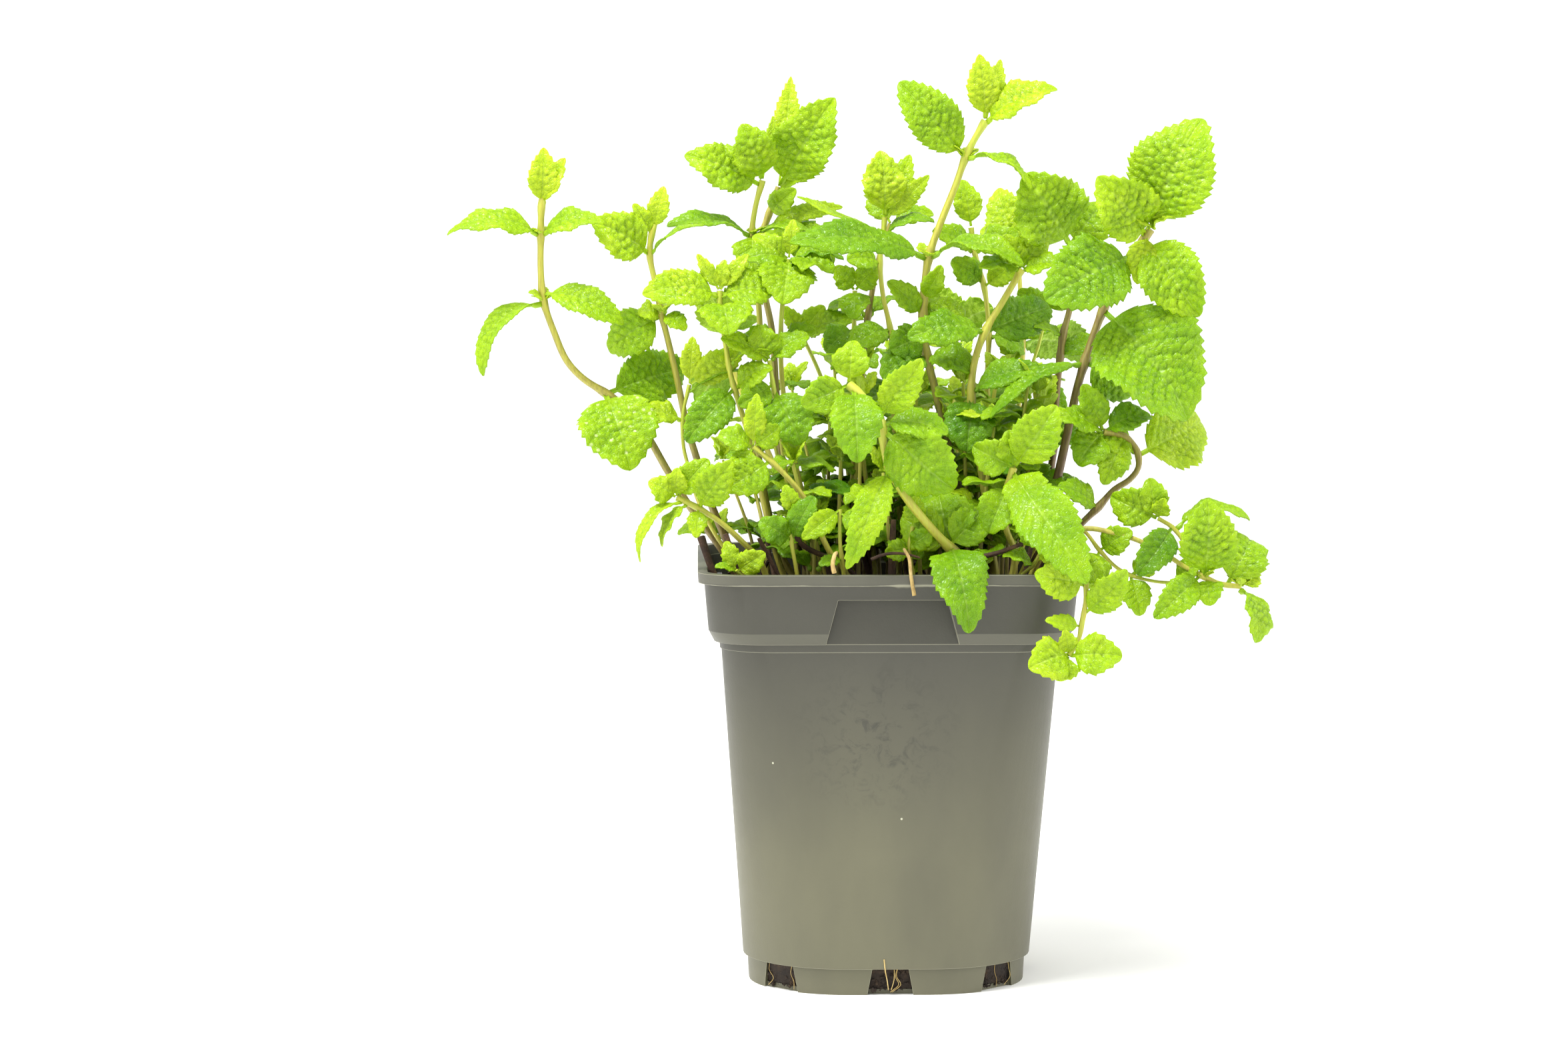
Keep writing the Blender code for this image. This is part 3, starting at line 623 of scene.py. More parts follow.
def newTree(name, inputs):
    # an empty geometry tree with named inputs, and their sockets
    tree = bpy.data.node_groups.new(name, "GeometryNodeTree")
    tree.interface.new_socket("Geometry", in_out="INPUT", socket_type="NodeSocketGeometry")
    for label, kind in inputs.items():
        tree.interface.new_socket(label, in_out="INPUT", socket_type="NodeSocket" + kind)
    tree.interface.new_socket("Geometry", in_out="OUTPUT", socket_type="NodeSocketGeometry")
    return tree, addNode(tree, "NodeGroupInput").outputs


def endTree(tree, geometry, material):
    # instances are made real and painted, because the export drops instances
    real = addNode(tree, "GeometryNodeRealizeInstances", {"Geometry": geometry})
    painted = addNode(tree, "GeometryNodeSetMaterial", {"Geometry": real.outputs[0], "Material": material})
    addNode(tree, "NodeGroupOutput", {"Geometry": painted.outputs[0]})
    return tree


def crumbTree():
    # irregular crumbs scattered over a surface
    tree, given = newTree("scattered_crumbs", {
        "Density": "Float", "Smallest": "Float", "Largest": "Float", "Seed": "Int", "Material": "Material"})
    points = addNode(tree, "GeometryNodeDistributePointsOnFaces", {
        "Mesh": given["Geometry"], "Density": given["Density"], "Seed": given["Seed"]})
    lump = addNode(tree, "GeometryNodeMeshIcoSphere", {"Radius": 1.0, "Subdivisions": 1})
    size = addNode(tree, "FunctionNodeRandomValue", {
        2: given["Smallest"], 3: given["Largest"], "Seed": given["Seed"]}, data_type="FLOAT")
    squash = addNode(tree, "FunctionNodeRandomValue", {
        0: (0.5, 0.6, 0.4), 1: (1.5, 1.1, 0.9)}, data_type="FLOAT_VECTOR")
    scale = addNode(tree, "ShaderNodeVectorMath", {
        0: squash.outputs[0], "Scale": size.outputs[1]}, operation="SCALE")
    turn = addNode(tree, "FunctionNodeRandomValue", {1: (6.28, 6.28, 6.28)}, data_type="FLOAT_VECTOR")
    placed = addNode(tree, "GeometryNodeInstanceOnPoints", {
        "Points": points.outputs["Points"], "Instance": lump.outputs["Mesh"],
        "Rotation": turn.outputs[0], "Scale": scale.outputs[0]})
    return endTree(tree, placed.outputs[0], given["Material"])


crumbling = crumbTree()


def topPatch(body):
    # a loose copy of the mix's upper faces, inside the bare margin
    inside = pot["bodyHalfHigh"] - mix["bareEdge"]
    shape = bmesh.new()
    shape.from_mesh(body.data)
    gone = []
    for face in shape.faces:
        centre = face.calc_center_median()
        upper = face.normal.z > 0.3 and centre.z > 0.1
        if not (upper and max(abs(centre.x), abs(centre.y)) < inside):
            gone.append(face)
    bmesh.ops.delete(shape, geom=gone, context="FACES")
    return meshFrom(shape, "crumb_bed")


def scatterCrumbs(body):
    low, high = mix["crumbRadius"]
    bed = topPatch(body)
    for name, (material, share, seed, grow) in mix["crumbs"].items():
        mesh = growOn(workingObject(name, bed), crumbling, {
            "Density": mix["crumbsPerCm2"] * 1e4 * share, "Smallest": low * mm * grow,
            "Largest": high * mm * grow, "Seed": seed, "Material": material}, name)
        newPiece(name, mesh, "potting_mix")


scatterCrumbs(makeMix())
print("potting mix made")

facing = {
    "up": (0.0, -0.2, 1.0),
    "front": (0.0, -1.0, 0.2),
    "frontUp": (0.0, -0.75, 0.75),
    "frontLeft": (-0.6, -0.8, 0.3),
    "leftUp": (-0.6, -0.5, 0.7),
    "right": (0.8, -0.6, 0.2),
    "back": (0.0, 1.0, 0.3),
    "backUp": (0.0, 0.7, 0.8),
}

# Each shoot: its root (x, y) or the stem and point it forks from, its radii and its woodiness at foot and
# top, and its route, in mm on the elevation. A leaf: its CAD name or "", node on the stem, tip, width, arch,
# the way it faces, and its age (0 old, 1 new). A bud: node and size. Relief is how quilted the leaves are.
shoots = {
    "left_outer": {
        "root": (-41, -6), "radii": (1.3, 0.95), "wood": (0.75, 0.2),
        "route": [
            (-45, -8, 119), (-51, -10, 128), (-57, -12, 136), (-62.5, -12, 145), (-69.5, -12, 157),
            (-76, -12, 164.5), (-81, -12, 168), (-87, -12, 172), (-91.5, -12, 177), (-95, -12, 185),
            (-98, -12, 194), (-98.8, -12, 203), (-98.7, -12, 213), (-98.5, -12, 221), (-98.2, -12, 223.5),
        ],
        "leaves": [
            ("upper_left", (-98.8, -12, 213), (-126.5, -20, 216.5), 10, 4, "frontUp", 0.6),
            ("upper_right", (-98.8, -12, 213), (-80.5, -18, 218), 9, 2.5, "frontUp", 0.6),
            ("lower_left", (-98, -12, 194), (-116.5, -18, 172.5), 10, 6, "leftUp", 0.6),
            ("lower_right", (-98, -12, 196.5), (-74.5, -20, 188.5), 10, 2.5, "frontUp", 0.6),
            ("mottled", (-80.5, -12, 167.8), (-73, -26, 145.5), 22, 3, "front", 0.55),
            ("", (-98.5, -12, 221), (-97.5, -14, 238), 8, 1, "front", 1.0),
            ("", (-98.5, -12, 221), (-91.8, -12, 235), 7, 1, "frontLeft", 0.95),
            ("", (-80, -12, 167.4), (-57, 10, 175), 15, 2, "front", 0.45),
            ("", (-98, -12, 194), (-102, -16, 197), 4, 0.5, "frontUp", 0.9),
        ],
        "buds": [((-98, -12, 194), 5), ((-98.8, -12, 213), 4)],
    },
    "left_inner": {
        "root": (-38, 3), "radii": (1.4, 0.8), "wood": (0.85, 0.15),
        "route": [
            (-42.5, 1, 118), (-47, -1, 128), (-51, -3, 138), (-54, -4, 148), (-57, -5, 158),
            (-59.5, -6, 170), (-62, -6, 181), (-64.3, -6, 190.5), (-66, -6, 199), (-67.6, -6, 207.5),
            (-66.8, -6, 214), (-66.2, -6, 216),
        ],
        "leaves": [
            ("upper_left", (-67.6, -6, 207.5), (-84, -14, 217.5), 13, 2, "front", 0.75),
            ("", (-67.6, -6, 207.5), (-52, -12, 216), 4.5, 2, "up", 0.5),
            ("", (-66.8, -6, 214), (-63.5, -6, 227), 6, 0.5, "front", 0.95),
            ("", (-66.8, -6, 213), (-72, -8, 222), 5, 0.5, "front", 0.85),
            ("", (-64.3, -6, 190.5), (-71, -8, 191), 7, 0.5, "frontUp", 0.8),
            ("", (-64, -6, 190), (-52, -10, 197), 5, 2, "up", 0.6),
            ("", (-64.3, -6, 189.8), (-80, -2, 180), 13, 2, "front", 0.55),
            ("", (-64.3, -6, 189.8), (-57, -10, 186), 6, 1, "frontUp", 0.7),
        ],
        "buds": [((-64.3, -6, 190.5), 6)],
    },
    "left_yellow": {
        "root": (-36, -10), "radii": (0.8, 0.5), "wood": (0.35, 0.1),
        "route": [
            (-42, -12, 117), (-49, -13, 127), (-54, -13, 137), (-56.5, -12, 146), (-58, -12, 152),
            (-58.2, -12, 161), (-56.3, -12, 170),
        ],
        "leaves": [
            ("", (-56.3, -12, 170), (-55.2, -12, 184), 6, 0.5, "front", 1.0),
            ("", (-56.3, -12, 170), (-40.5, -14, 180.5), 8.5, 1, "front", 0.9),
            ("", (-56.5, -12, 168), (-37.5, -16, 175.5), 4.5, 1.5, "up", 0.35),
            ("", (-58.2, -12, 160), (-70.5, -14, 162.5), 8, 1, "frontUp", 0.85),
        ],
    },
    "left_middle": {
        "root": (-27, -15), "radii": (1.1, 0.7), "wood": (0.5, 0.1),
        "route": [
            (-31, -17, 120), (-35, -18, 136), (-39, -18, 154), (-42.5, -18, 166), (-44.5, -17, 173),
            (-46, -17, 182), (-47.3, -17, 190), (-47.6, -17, 197),
        ],
        "leaves": [
            ("", (-47.6, -17, 195.5), (-70, -24, 197), 12, 2.5, "frontUp", 0.75),
            ("", (-47.4, -17, 193), (-45, -30, 185), 15, 2, "frontUp", 0.6),
            ("", (-47.6, -17, 195.5), (-32, -16, 197), 13, 1.5, "frontUp", 0.6),
            ("", (-47, -17, 197), (-37.5, -10, 191), 10, 1, "up", 0.5),
            ("", (-47.6, -17, 197), (-54, -18, 207.5), 4, 0.5, "front", 0.9),
            ("", (-47.6, -17, 197), (-46.5, -17, 206), 4.5, 0.3, "front", 0.9),
            ("", (-47.6, -17, 197), (-39.5, -16, 208), 4.5, 0.5, "front", 0.9),
            ("", (-43.5, -18, 169), (-57.5, -24, 153.5), 11, 3, "front", 0.25),
            ("", (-43.5, -18, 169), (-33, -22, 176), 9, 1, "frontUp", 0.6),
            ("", (-45, -17, 176), (-32, -19, 181), 6, 1.5, "up", 0.55),
        ],
    },
    "left_pair_green": {
        "root": (-24, 10), "radii": (1.2, 0.8), "wood": (0.55, 0.15),
        "route": [
            (-30, 10, 121), (-35, 8, 140), (-36.8, 6, 155), (-36.5, 6, 170), (-36, 6, 185),
            (-37, 6, 200), (-38.3, 6, 213), (-37.3, 6, 221), (-35.3, 6, 228.5),
        ],
        "leaves": [
            ("top_left", (-35.8, 6, 227), (-57, -2, 237), 13, 2, "front", 0.6),
            ("", (-35.3, 6, 228.5), (-41, -3, 244.5), 12.5, 2, "front", 0.6),
            ("", (-35.3, 6, 228.5), (-32, 8, 247), 3, 0.3, "front", 0.85),
            ("", (-38.3, 6, 213), (-62.5, -2, 217.5), 8.5, 2, "up", 0.35),
            ("", (-38.3, 6, 213), (-19, 2, 214), 9, 2, "up", 0.5),
            ("", (-38.3, 6, 213), (-37.5, -6, 202), 11, 1.5, "front", 0.65),
            ("", (-38.3, 6, 213), (-33, -4, 203), 8, 1, "front", 0.6),
        ],
        "buds": [((-38.3, 6, 213), 5)],
    },
    "left_pair_brown": {
        "root": (-19, 23), "radii": (1.3, 0.9), "wood": (0.9, 0.35),
        "route": [
            (-26, 21, 125), (-30, 19, 150), (-31.5, 18, 170), (-32.5, 17, 185), (-34.5, 17, 195),
            (-36.6, 16, 204), (-35.6, 16, 212), (-33.4, 15, 219), (-30.5, 14, 226.5),
        ],
        "leaves": [
            ("bud", (-30.5, 14, 226.5), (-27, 18, 258.5), 8, 0, "front", 0.95),
            ("round", (-30.5, 14, 226.5), (-16, 0, 251.5), 17, 1, "front", 0.6),
            ("", (-31.5, 15, 225), (-20.5, 10, 232), 6, 1, "frontUp", 0.7),
            ("", (-33.4, 15, 219), (-26, 8, 226), 7, 1, "front", 0.65),
            ("", (-35, 15.5, 214), (-14, 10, 205), 13, 3, "frontUp", 0.55),
            ("", (-35, 15.5, 214), (-12, 14, 222), 6, 2, "frontUp", 0.75),
        ],
    },
    "left_of_centre": {
        "root": (-15, -3), "radii": (1.0, 0.7), "wood": (0.5, 0.1),
        "route": [
            (-20, -4, 124), (-26, -5, 148), (-29.6, -6, 170), (-30, -6, 187), (-29, -6, 198),
            (-27.8, -6, 206),
        ],
        "leaves": [
            ("", (-27.9, -6, 205.5), (-29.5, -20, 193.5), 16, 2, "frontUp", 0.55),
            ("", (-27.8, -6, 206), (-40, -10, 207), 9, 1, "frontUp", 0.5),
            ("", (-27.8, -6, 206), (-14.5, -12, 203), 13, 1.5, "frontUp", 0.5),
            ("", (-27.8, -6, 206), (-38, -6, 213.5), 7, 1, "front", 0.75),
            ("", (-27.8, -6, 206), (-26.3, -6, 217.5), 5, 0.3, "front", 0.9),
            ("", (-27.8, -6, 206), (-11.5, -6, 207.5), 8, 1.5, "up", 0.2),
            ("", (-30, -6, 182), (-41, -12, 183), 8, 1.5, "frontUp", 0.45),
            ("", (-30, -6, 182), (-20, -10, 186), 7, 1, "frontUp", 0.5),
        ],
    },
    "centre_low_left": {
        "root": (-20, -16), "radii": (0.9, 0.6), "wood": (0.4, 0.1),
        "route": [
            (-22, -17, 120), (-27, -18, 135), (-29, -18, 147), (-30.5, -18, 158), (-32, -18, 168),
            (-33.3, -18, 177),
        ],
        "leaves": [
            ("", (-33.3, -18, 177), (-37, -20, 187), 9, 0.7, "front", 0.6),
            ("", (-33.3, -18, 177), (-47, -22, 184), 8, 1, "frontUp", 0.6),
            ("", (-33.3, -18, 177), (-22, -18, 185), 8, 1, "frontUp", 0.5),
            ("", (-32.5, -18, 170), (-42, -24, 164), 8, 1, "front", 0.45),
            ("", (-32, -18, 168), (-24, -26, 153), 14, 1.5, "front", 0.3),
        ],
    },
    "centre_green": {
        "root": (7, 6), "radii": (1.0, 0.7), "wood": (0.35, 0.15),
        "route": [
            (5, 6, 125), (3, 5, 150), (2.2, 4, 172), (1.5, 3, 185), (-0.8, 3, 196), (-1.6, 3, 206),
            (-0.7, 3, 213), (-0.3, 3, 218),
        ],
        "leaves": [
            ("tip", (-0.3, 3, 218), (-1, 1, 237.5), 12, 1.5, "front", 0.9),
            ("", (-0.3, 3, 217), (12.5, 4, 230), 5.5, 0.8, "front", 0.85),
            ("", (-0.3, 3, 217), (7, 6, 236), 8, 0.5, "front", 0.8),
            ("", (-0.8, 3, 213), (-24, 0, 225.5), 6, -1, "up", 0.7),
            ("", (-0.7, 3, 213), (14, 0, 218), 8, 1.5, "up", 0.35),
            ("", (-1.6, 3, 205), (-11, -2, 206), 9, 1, "frontUp", 0.5),
            ("", (1.5, 3, 186), (10, -4, 178), 9, 1.5, "frontUp", 0.35),
            ("", (1.5, 3, 186), (-11, -5, 180), 10, 1.5, "frontUp", 0.4),
        ],
    },
    "centre_brown": {
        "root": (-3, 27), "radii": (1.3, 0.8), "wood": (0.95, 0.5),
        "route": [
            (-5, 26, 130), (-7, 24, 150), (-7.3, 22, 165), (-6.6, 20, 176), (-5.3, 19, 188),
            (-3.6, 18, 198), (-2, 17, 206), (1.5, 16, 216),
        ],
        "leaves": [
            ("", (1.5, 16, 216), (14, 16, 220), 7, 1, "frontUp", 0.6),
            ("", (1.5, 16, 216), (-4, 22, 226), 8, 1, "front", 0.7),
            ("", (-5, 19, 190), (6, 26, 196), 10, 1.5, "up", 0.4),
            ("", (-5, 19, 190), (-17, 22, 193), 10, 1.5, "up", 0.45),
        ],
    },
    "centre_tall": {
        "root": (24, -1), "radii": (1.5, 1.0), "wood": (0.8, 0.12),
        "route": [
            (23.5, -3, 123), (21.5, -4, 138), (19, -5, 148), (16.8, -6, 158), (14.5, -7, 168),
            (12, -8, 178), (10.8, -8, 188), (11.2, -8, 198), (12.5, -8, 207), (16, -8, 217),
            (20, -8, 227), (22.8, -8, 235), (25, -8, 239.5), (28.5, -8, 245.5),
        ],
        "leaves": [
            ("bud", (28.5, -8, 245.5), (26.8, -11, 264.5), 9, 1, "front", 1.0),
            ("top_right", (28.3, -8, 244.5), (48.5, -14, 256.5), 11.5, 2, "frontUp", 0.85),
            ("top_left", (22.8, -8, 235), (3.8, -12, 257), 14, 2, "front", 0.5),
            ("long_left", (12.4, -8, 206.5), (-27, -26, 212.5), 13, 3, "frontUp", 0.25),
            ("", (28.5, -8, 245.5), (33, -8, 263), 6, 0.5, "front", 0.95),
            ("", (23.2, -8, 235.5), (43, -18, 227), 10, 3, "up", 0.6),
            ("", (12.5, -8, 207), (40, -22, 206), 10, 4, "up", 0.45),
            ("", (11, -8, 194), (16, -14, 204), 6, 0.5, "front", 0.6),
            ("", (10.8, -8, 190), (1, -12, 200), 7, 0.8, "front", 0.5),
            ("", (12, -8, 178), (25, -16, 174), 11, 2, "frontUp", 0.35),
            ("", (12, -8, 178), (-1, -16, 172), 12, 2, "frontUp", 0.2),
            ("", (11.3, -8, 184), (23, -4, 193), 12, 1.5, "frontUp", 0.55),
            ("", (11.3, -8, 184), (1.5, -14, 180), 10, 1, "front", 0.2),
            ("", (16.8, -6, 158), (29, -14, 153), 12, 2, "frontUp", 0.15),
        ],
        "buds": [((22.8, -8, 235), 6), ((12.4, -8, 206.5), 6)],
    },
    "right_curved": {
        "root": (32, -10), "radii": (1.3, 1.0), "wood": (0.45, 0.2),
        "route": [
            (30.5, -12, 125), (28.5, -14, 140), (26.5, -15, 152), (25, -16, 162), (24.8, -16, 170),
            (26, -15, 178), (29, -14, 186), (33.5, -13, 193.5), (39, -11, 203),
        ],
        "leaves": [
            ("dark_right", (28.5, -14, 185), (47.5, 0, 192.5), 13, 0.5, "front", 0.2),
            ("", (28.6, -14, 185.5), (6.5, -24, 184), 12, 2, "frontUp", 0.25),
            ("", (39, -11, 203), (46, -12, 214), 8, 0.5, "front", 0.7),
            ("", (39, -11, 203), (34, -14, 213), 8, 0.5, "front", 0.65),
            ("", (39, -11, 203), (50, -16, 205), 9, 1, "frontUp", 0.6),
            ("", (25, -16, 168), (44, -24, 176), 9, 1.5, "frontUp", 0.2),
            ("", (25, -16, 166), (23.5, -26, 151), 14, 1.5, "front", 0.1),
            ("", (39, -11, 203), (27, -18, 205), 9, 1, "frontUp", 0.5),
        ],
    },
    "right_of_centre": {
        "root": (27, 16), "radii": (1.0, 0.7), "wood": (0.55, 0.15),
        "route": [
            (29.5, 15, 125), (31.5, 14, 145), (30.5, 13, 158), (29.3, 12, 170), (29.7, 12, 185),
            (28.3, 12, 198), (25.5, 12, 208), (24.5, 12, 215),
        ],
        "leaves": [
            ("", (24.5, 12, 215), (22.5, 12, 229), 8, 0.5, "front", 0.75),
            ("", (25.5, 12, 208), (14, 8, 215), 8, 1, "frontUp", 0.5),
            ("", (25.5, 12, 208), (38, 8, 214), 9, 1, "frontUp", 0.55),
            ("", (28.3, 12, 198), (39.5, 6, 207), 7, 1, "front", 0.8),
            ("", (28.3, 12, 199), (19, 10, 206), 8, 1, "front", 0.45),
            ("", (29.7, 12, 184), (41, 14, 180), 10, 1.5, "frontUp", 0.3),
        ],
    },
    "right_back": {
        "root": (39, 30), "radii": (1.1, 0.7), "wood": (0.5, 0.2),
        "route": [
            (38.5, 31, 128), (37, 33, 148), (38.5, 34, 165), (39.5, 35, 180), (38.8, 36, 195),
            (38, 37, 208),
        ],
        "leaves": [
            ("outer", (39.2, 35, 182), (62, 62, 176), 15, 4, "backUp", 0.4),
            ("", (38, 37, 208), (31, 45, 227), 12, 1.5, "front", 0.85),
            ("", (38, 37, 208), (27, 40, 215), 9, 1, "frontUp", 0.8),
            ("", (38, 37, 208), (49, 40, 218), 9, 1, "front", 0.6),
            ("", (39.2, 35, 182), (46, 38, 192), 8, 1, "front", 0.5),
        ],
    },
    "right_thin": {
        "root": (36, 12), "radii": (0.8, 0.5), "wood": (0.3, 0.1),
        "route": [
            (40, 13, 124), (43.5, 14, 140), (44, 15, 156), (43, 16, 168), (42, 16, 174), (44, 16, 181),
            (46.5, 17, 191),
        ],
        "leaves": [
            ("", (46.5, 17, 191), (54, 14, 200), 8, 1, "front", 0.6),
            ("", (46.5, 17, 191), (38, 14, 197), 7, 1, "front", 0.5),
            ("", (43, 16, 168), (52, 10, 163), 8, 1, "frontUp", 0.3),
        ],
    },
    "right_brown": {
        "root": (42, 5), "radii": (1.3, 0.9), "wood": (1.0, 0.5),
        "route": [
            (46.5, 3, 125), (47, 0, 138), (48.3, -2, 150), (49, -4, 163), (50, -5, 175),
            (51, -6, 184), (53, -6, 192), (54, -6, 202), (53, -6, 210),
        ],
        "leaves": [
            ("", (53, -6, 210), (40, -16, 230), 21, 2, "front", 0.55),
            ("", (53, -6, 210), (62, -2, 222), 14, 1.5, "front", 0.6),
            ("", (51, -6, 184), (43, -10, 187.5), 5, 0.6, "frontUp", 0.4),
            ("", (50.5, -5, 178), (60, -4, 184), 6, 0.6, "frontUp", 0.4),
            ("", (48.5, -2, 152), (60, 4, 159), 9, 1.5, "frontUp", 0.2),
        ],
    },
    "right_tall": {
        "root": (41, -13), "radii": (1.6, 1.1), "wood": (1.0, 0.45), "relief": 1.15,
        "route": [
            (45.5, -17, 127), (48.5, -20, 138), (51, -21, 149), (53.3, -22, 160), (55.5, -22, 170),
            (58.5, -22, 180), (62, -22, 190), (67, -23, 201), (73, -24, 210), (76, -25, 214.5),
        ],
        "leaves": [
            ("top_right", (76, -25, 214.5), (89.5, -30, 247.5), 24, 3, "front", 0.6),
            ("top_left", (74.5, -25, 212.5), (60.5, -36, 229), 17, 3, "front", 0.7),
            ("dark_front", (70.5, -24, 207), (46, -40, 194.5), 21, 3, "front", 0.3),
            ("lower_right", (74, -25, 211.5), (90, -34, 189), 17, 3, "front", 0.55),
            ("great", (62.5, -22, 191.5), (89.5, -38, 161), 31, 4, "front", 0.4),
            ("", (57.2, -22, 176.5), (29.5, -30, 161), 11, 3, "up", 0.25),
            ("", (75, -25, 213.5), (72, -30, 199), 8.5, 1, "front", 0.85),
            ("", (76, -25, 214.5), (82, -30, 219), 7, 0.6, "frontUp", 0.9),
            ("", (76, -25, 214.5), (71, -31, 219), 6, 0.6, "frontUp", 0.9),
            ("", (76, -25, 214.5), (78, -28, 226), 7, 0.6, "front", 0.85),
            ("", (57.2, -22, 176.5), (72, -20, 166), 12, 2, "front", 0.35),
        ],
    },
    "right_curled": {
        "root": (42, -23), "radii": (1.2, 0.9), "wood": (0.95, 0.45),
        "route": [
            (51, -26, 122), (56, -30, 129), (61.5, -31, 134.5), (66, -31, 139.5), (70.5, -30, 142.5),
            (73, -29, 146), (72.5, -28, 151), (69, -28, 155), (63, -29, 156.3),
        ],
        "leaves": [
            ("yellow", (72.8, -28, 149.5), (94.5, -6, 160.5), 19, 2, "front", 0.8),
            ("", (63, -29, 156.3), (46.5, -36, 161), 9, 2, "frontUp", 0.45),
            ("", (72.8, -28, 150), (60, -28, 156), 9, 1, "frontUp", 0.6),
            ("", (63, -29, 156.3), (77, -30, 162), 10, 1.5, "frontUp", 0.25),
            ("", (63, -29, 156.3), (57, -32, 170), 8, 0.6, "front", 0.5),
            ("", (69, -28, 155), (63, -34, 141), 9, 1.5, "front", 0.55),
            ("", (61.5, -31, 134.5), (50, -36, 141), 9, 1, "frontUp", 0.45),
            ("", (63, -29, 156.3), (55, -34, 147), 11, 1.5, "front", 0.4),
        ],
    },
    "right_runner": {
        "root": (37, -29), "radii": (1.1, 0.8), "wood": (0.5, 0.2),
        "route": [
            (46, -33, 122), (50, -36, 126), (55, -38, 128), (60, -39, 128.3), (66, -40, 127),
            (72, -41, 125.3), (80, -42, 121.5), (87, -43, 117), (93, -44, 113.8), (98, -44, 112),
            (103, -44, 111.5),
        ],
        "leaves": [
            ("end", (103, -44, 111.5), (109, -50, 95), 13, 2, "right", 0.6),
            ("upright", (92.5, -44, 114), (94, -52, 136.5), 16, 2, "front", 0.55),
            ("", (99, -44, 112), (106.5, -34, 127), 14, 2, "front", 0.5),
            ("", (91, -44, 114.7), (78, -54, 102.5), 9, 2, "front", 0.45),
            ("", (103, -44, 111.5), (108, -40, 116), 6, 0.5, "front", 0.8),
            ("", (93, -44, 113.8), (94, -50, 106), 8, 1, "front", 0.5),
        ],
        "buds": [((92.5, -44, 114), 5), ((103, -44, 111.5), 5)],
    },
    "right_runner_branch": {
        "fork": ("right_runner", (89, -43, 116)), "radii": (0.8, 0.6), "wood": (0.3, 0.15),
        "route": [(88, -41, 121), (86, -40, 125), (83, -39, 128.7), (78.8, -38, 131.3)],
        "leaves": [
            ("far", (83.5, -39, 128.4), (106, -33, 131.5), 9, 4, "up", 0.55),
            ("", (78.8, -38, 131.3), (64.5, -36, 137.5), 10.5, 1, "front", 0.6),
            ("", (78.8, -38, 131.3), (76, -38, 143), 8, 0.6, "front", 0.65),
            ("", (83, -39, 128.7), (73, -48, 115), 9, 2, "front", 0.15),
            ("", (78.8, -38, 131.3), (80.5, -42, 137), 5, 0.4, "front", 0.8),
        ],
    },
    "second_runner": {
        "root": (35, -20), "radii": (0.9, 0.6), "wood": (0.4, 0.15),
        "route": [
            (44, -28, 124), (50, -32, 130), (57, -35, 128), (62, -37, 122), (67, -38, 117),
            (71, -39, 114.8), (78, -40, 113), (84, -41, 112.5),
        ],
        "leaves": [
            ("", (71, -39, 114.8), (74, -44, 103), 8, 1, "front", 0.55),
            ("", (71, -39, 114.8), (80, -40, 120), 8, 1, "frontUp", 0.65),
            ("", (84, -41, 112.5), (91, -44, 118), 7, 1, "frontUp", 0.7),
            ("", (62, -37, 122), (71, -42, 128), 8, 1, "front", 0.6),
            ("", (62, -37, 122), (58, -44, 111), 9, 1, "front", 0.6),
            ("", (84, -41, 112.5), (86, -46, 105), 7, 1, "front", 0.6),
        ],
    },
    "corner_trailer": {
        "root": (39, -36), "radii": (0.9, 0.7), "wood": (0.4, 0.15), "relief": 0.8,
        "route": [
            (47, -43, 117), (51.5, -49, 122), (55.5, -55, 121.5), (57.8, -59, 115), (58, -60, 107),
            (57, -60, 101), (56, -61, 96), (53.3, -62, 91.5),
        ],
        "leaves": [
            ("low_right", (53.3, -62, 91.5), (69, -66, 91.5), 11, 2, "front", 0.75),
            ("low_left", (53.6, -62, 92), (41.5, -68, 88), 12, 2, "front", 0.8),
            ("", (57.9, -60, 112), (43, -64, 115), 11, 2, "front", 0.8),
            ("", (57.6, -60, 103.5), (71, -62, 116), 9, 2, "front", 0.65),
            ("", (56.5, -60, 100), (46.5, -64, 102), 4.5, 0.5, "front", 0.75),
            ("", (53.3, -62, 91.5), (52, -64, 99), 5.5, 0.5, "front", 0.9),
            ("", (53.3, -62, 91.5), (50, -66, 84), 8, 1, "front", 0.8),
            ("", (55.5, -55, 121.5), (63, -58, 112), 7, 1, "front", 0.7),
        ],
    },
    "left_runner": {
        "root": (-33, -27), "radii": (1.1, 0.8), "wood": (0.4, 0.15),
        "route": [
            (-36, -30, 119), (-41, -32, 124.5), (-47, -33, 130), (-53, -34, 134), (-60, -35, 137.5),
        ],
        "leaves": [
            ("drooping", (-58, -35, 136.6), (-73, -42, 119), 5, 5, "leftUp", 0.85),
            ("", (-54, -34, 134.5), (-44, -44, 148), 10, 2, "front", 0.7),
            ("", (-60, -35, 137.5), (-68, -38, 142.5), 8, 1, "front", 0.85),
            ("", (-60, -35, 137.5), (-51, -36, 149), 8, 1, "front", 0.6),
            ("", (-57, -34, 136), (-66, -40, 124), 5, 1.5, "leftUp", 0.75),
            ("", (-54, -34, 134.5), (-54.5, -40, 126), 5.5, 0.6, "front", 0.8),
            ("", (-60, -35, 137.5), (-60, -38, 146), 6, 0.5, "front", 0.8),
        ],
    },
    "left_front": {
        "root": (-9, -25), "radii": (1.0, 0.8), "wood": (0.45, 0.2),
        "route": [
            (-12, -28, 117), (-15.5, -30, 121), (-19, -31, 128), (-22.5, -32, 136), (-27, -33, 142),
            (-33, -34, 148), (-38, -34, 152),
        ],
        "leaves": [
            ("", (-33, -34, 148), (-46, -38, 139.5), 11, 2, "front", 0.55),
            ("", (-38, -34, 152), (-48, -36, 156), 8, 1, "frontUp", 0.6),
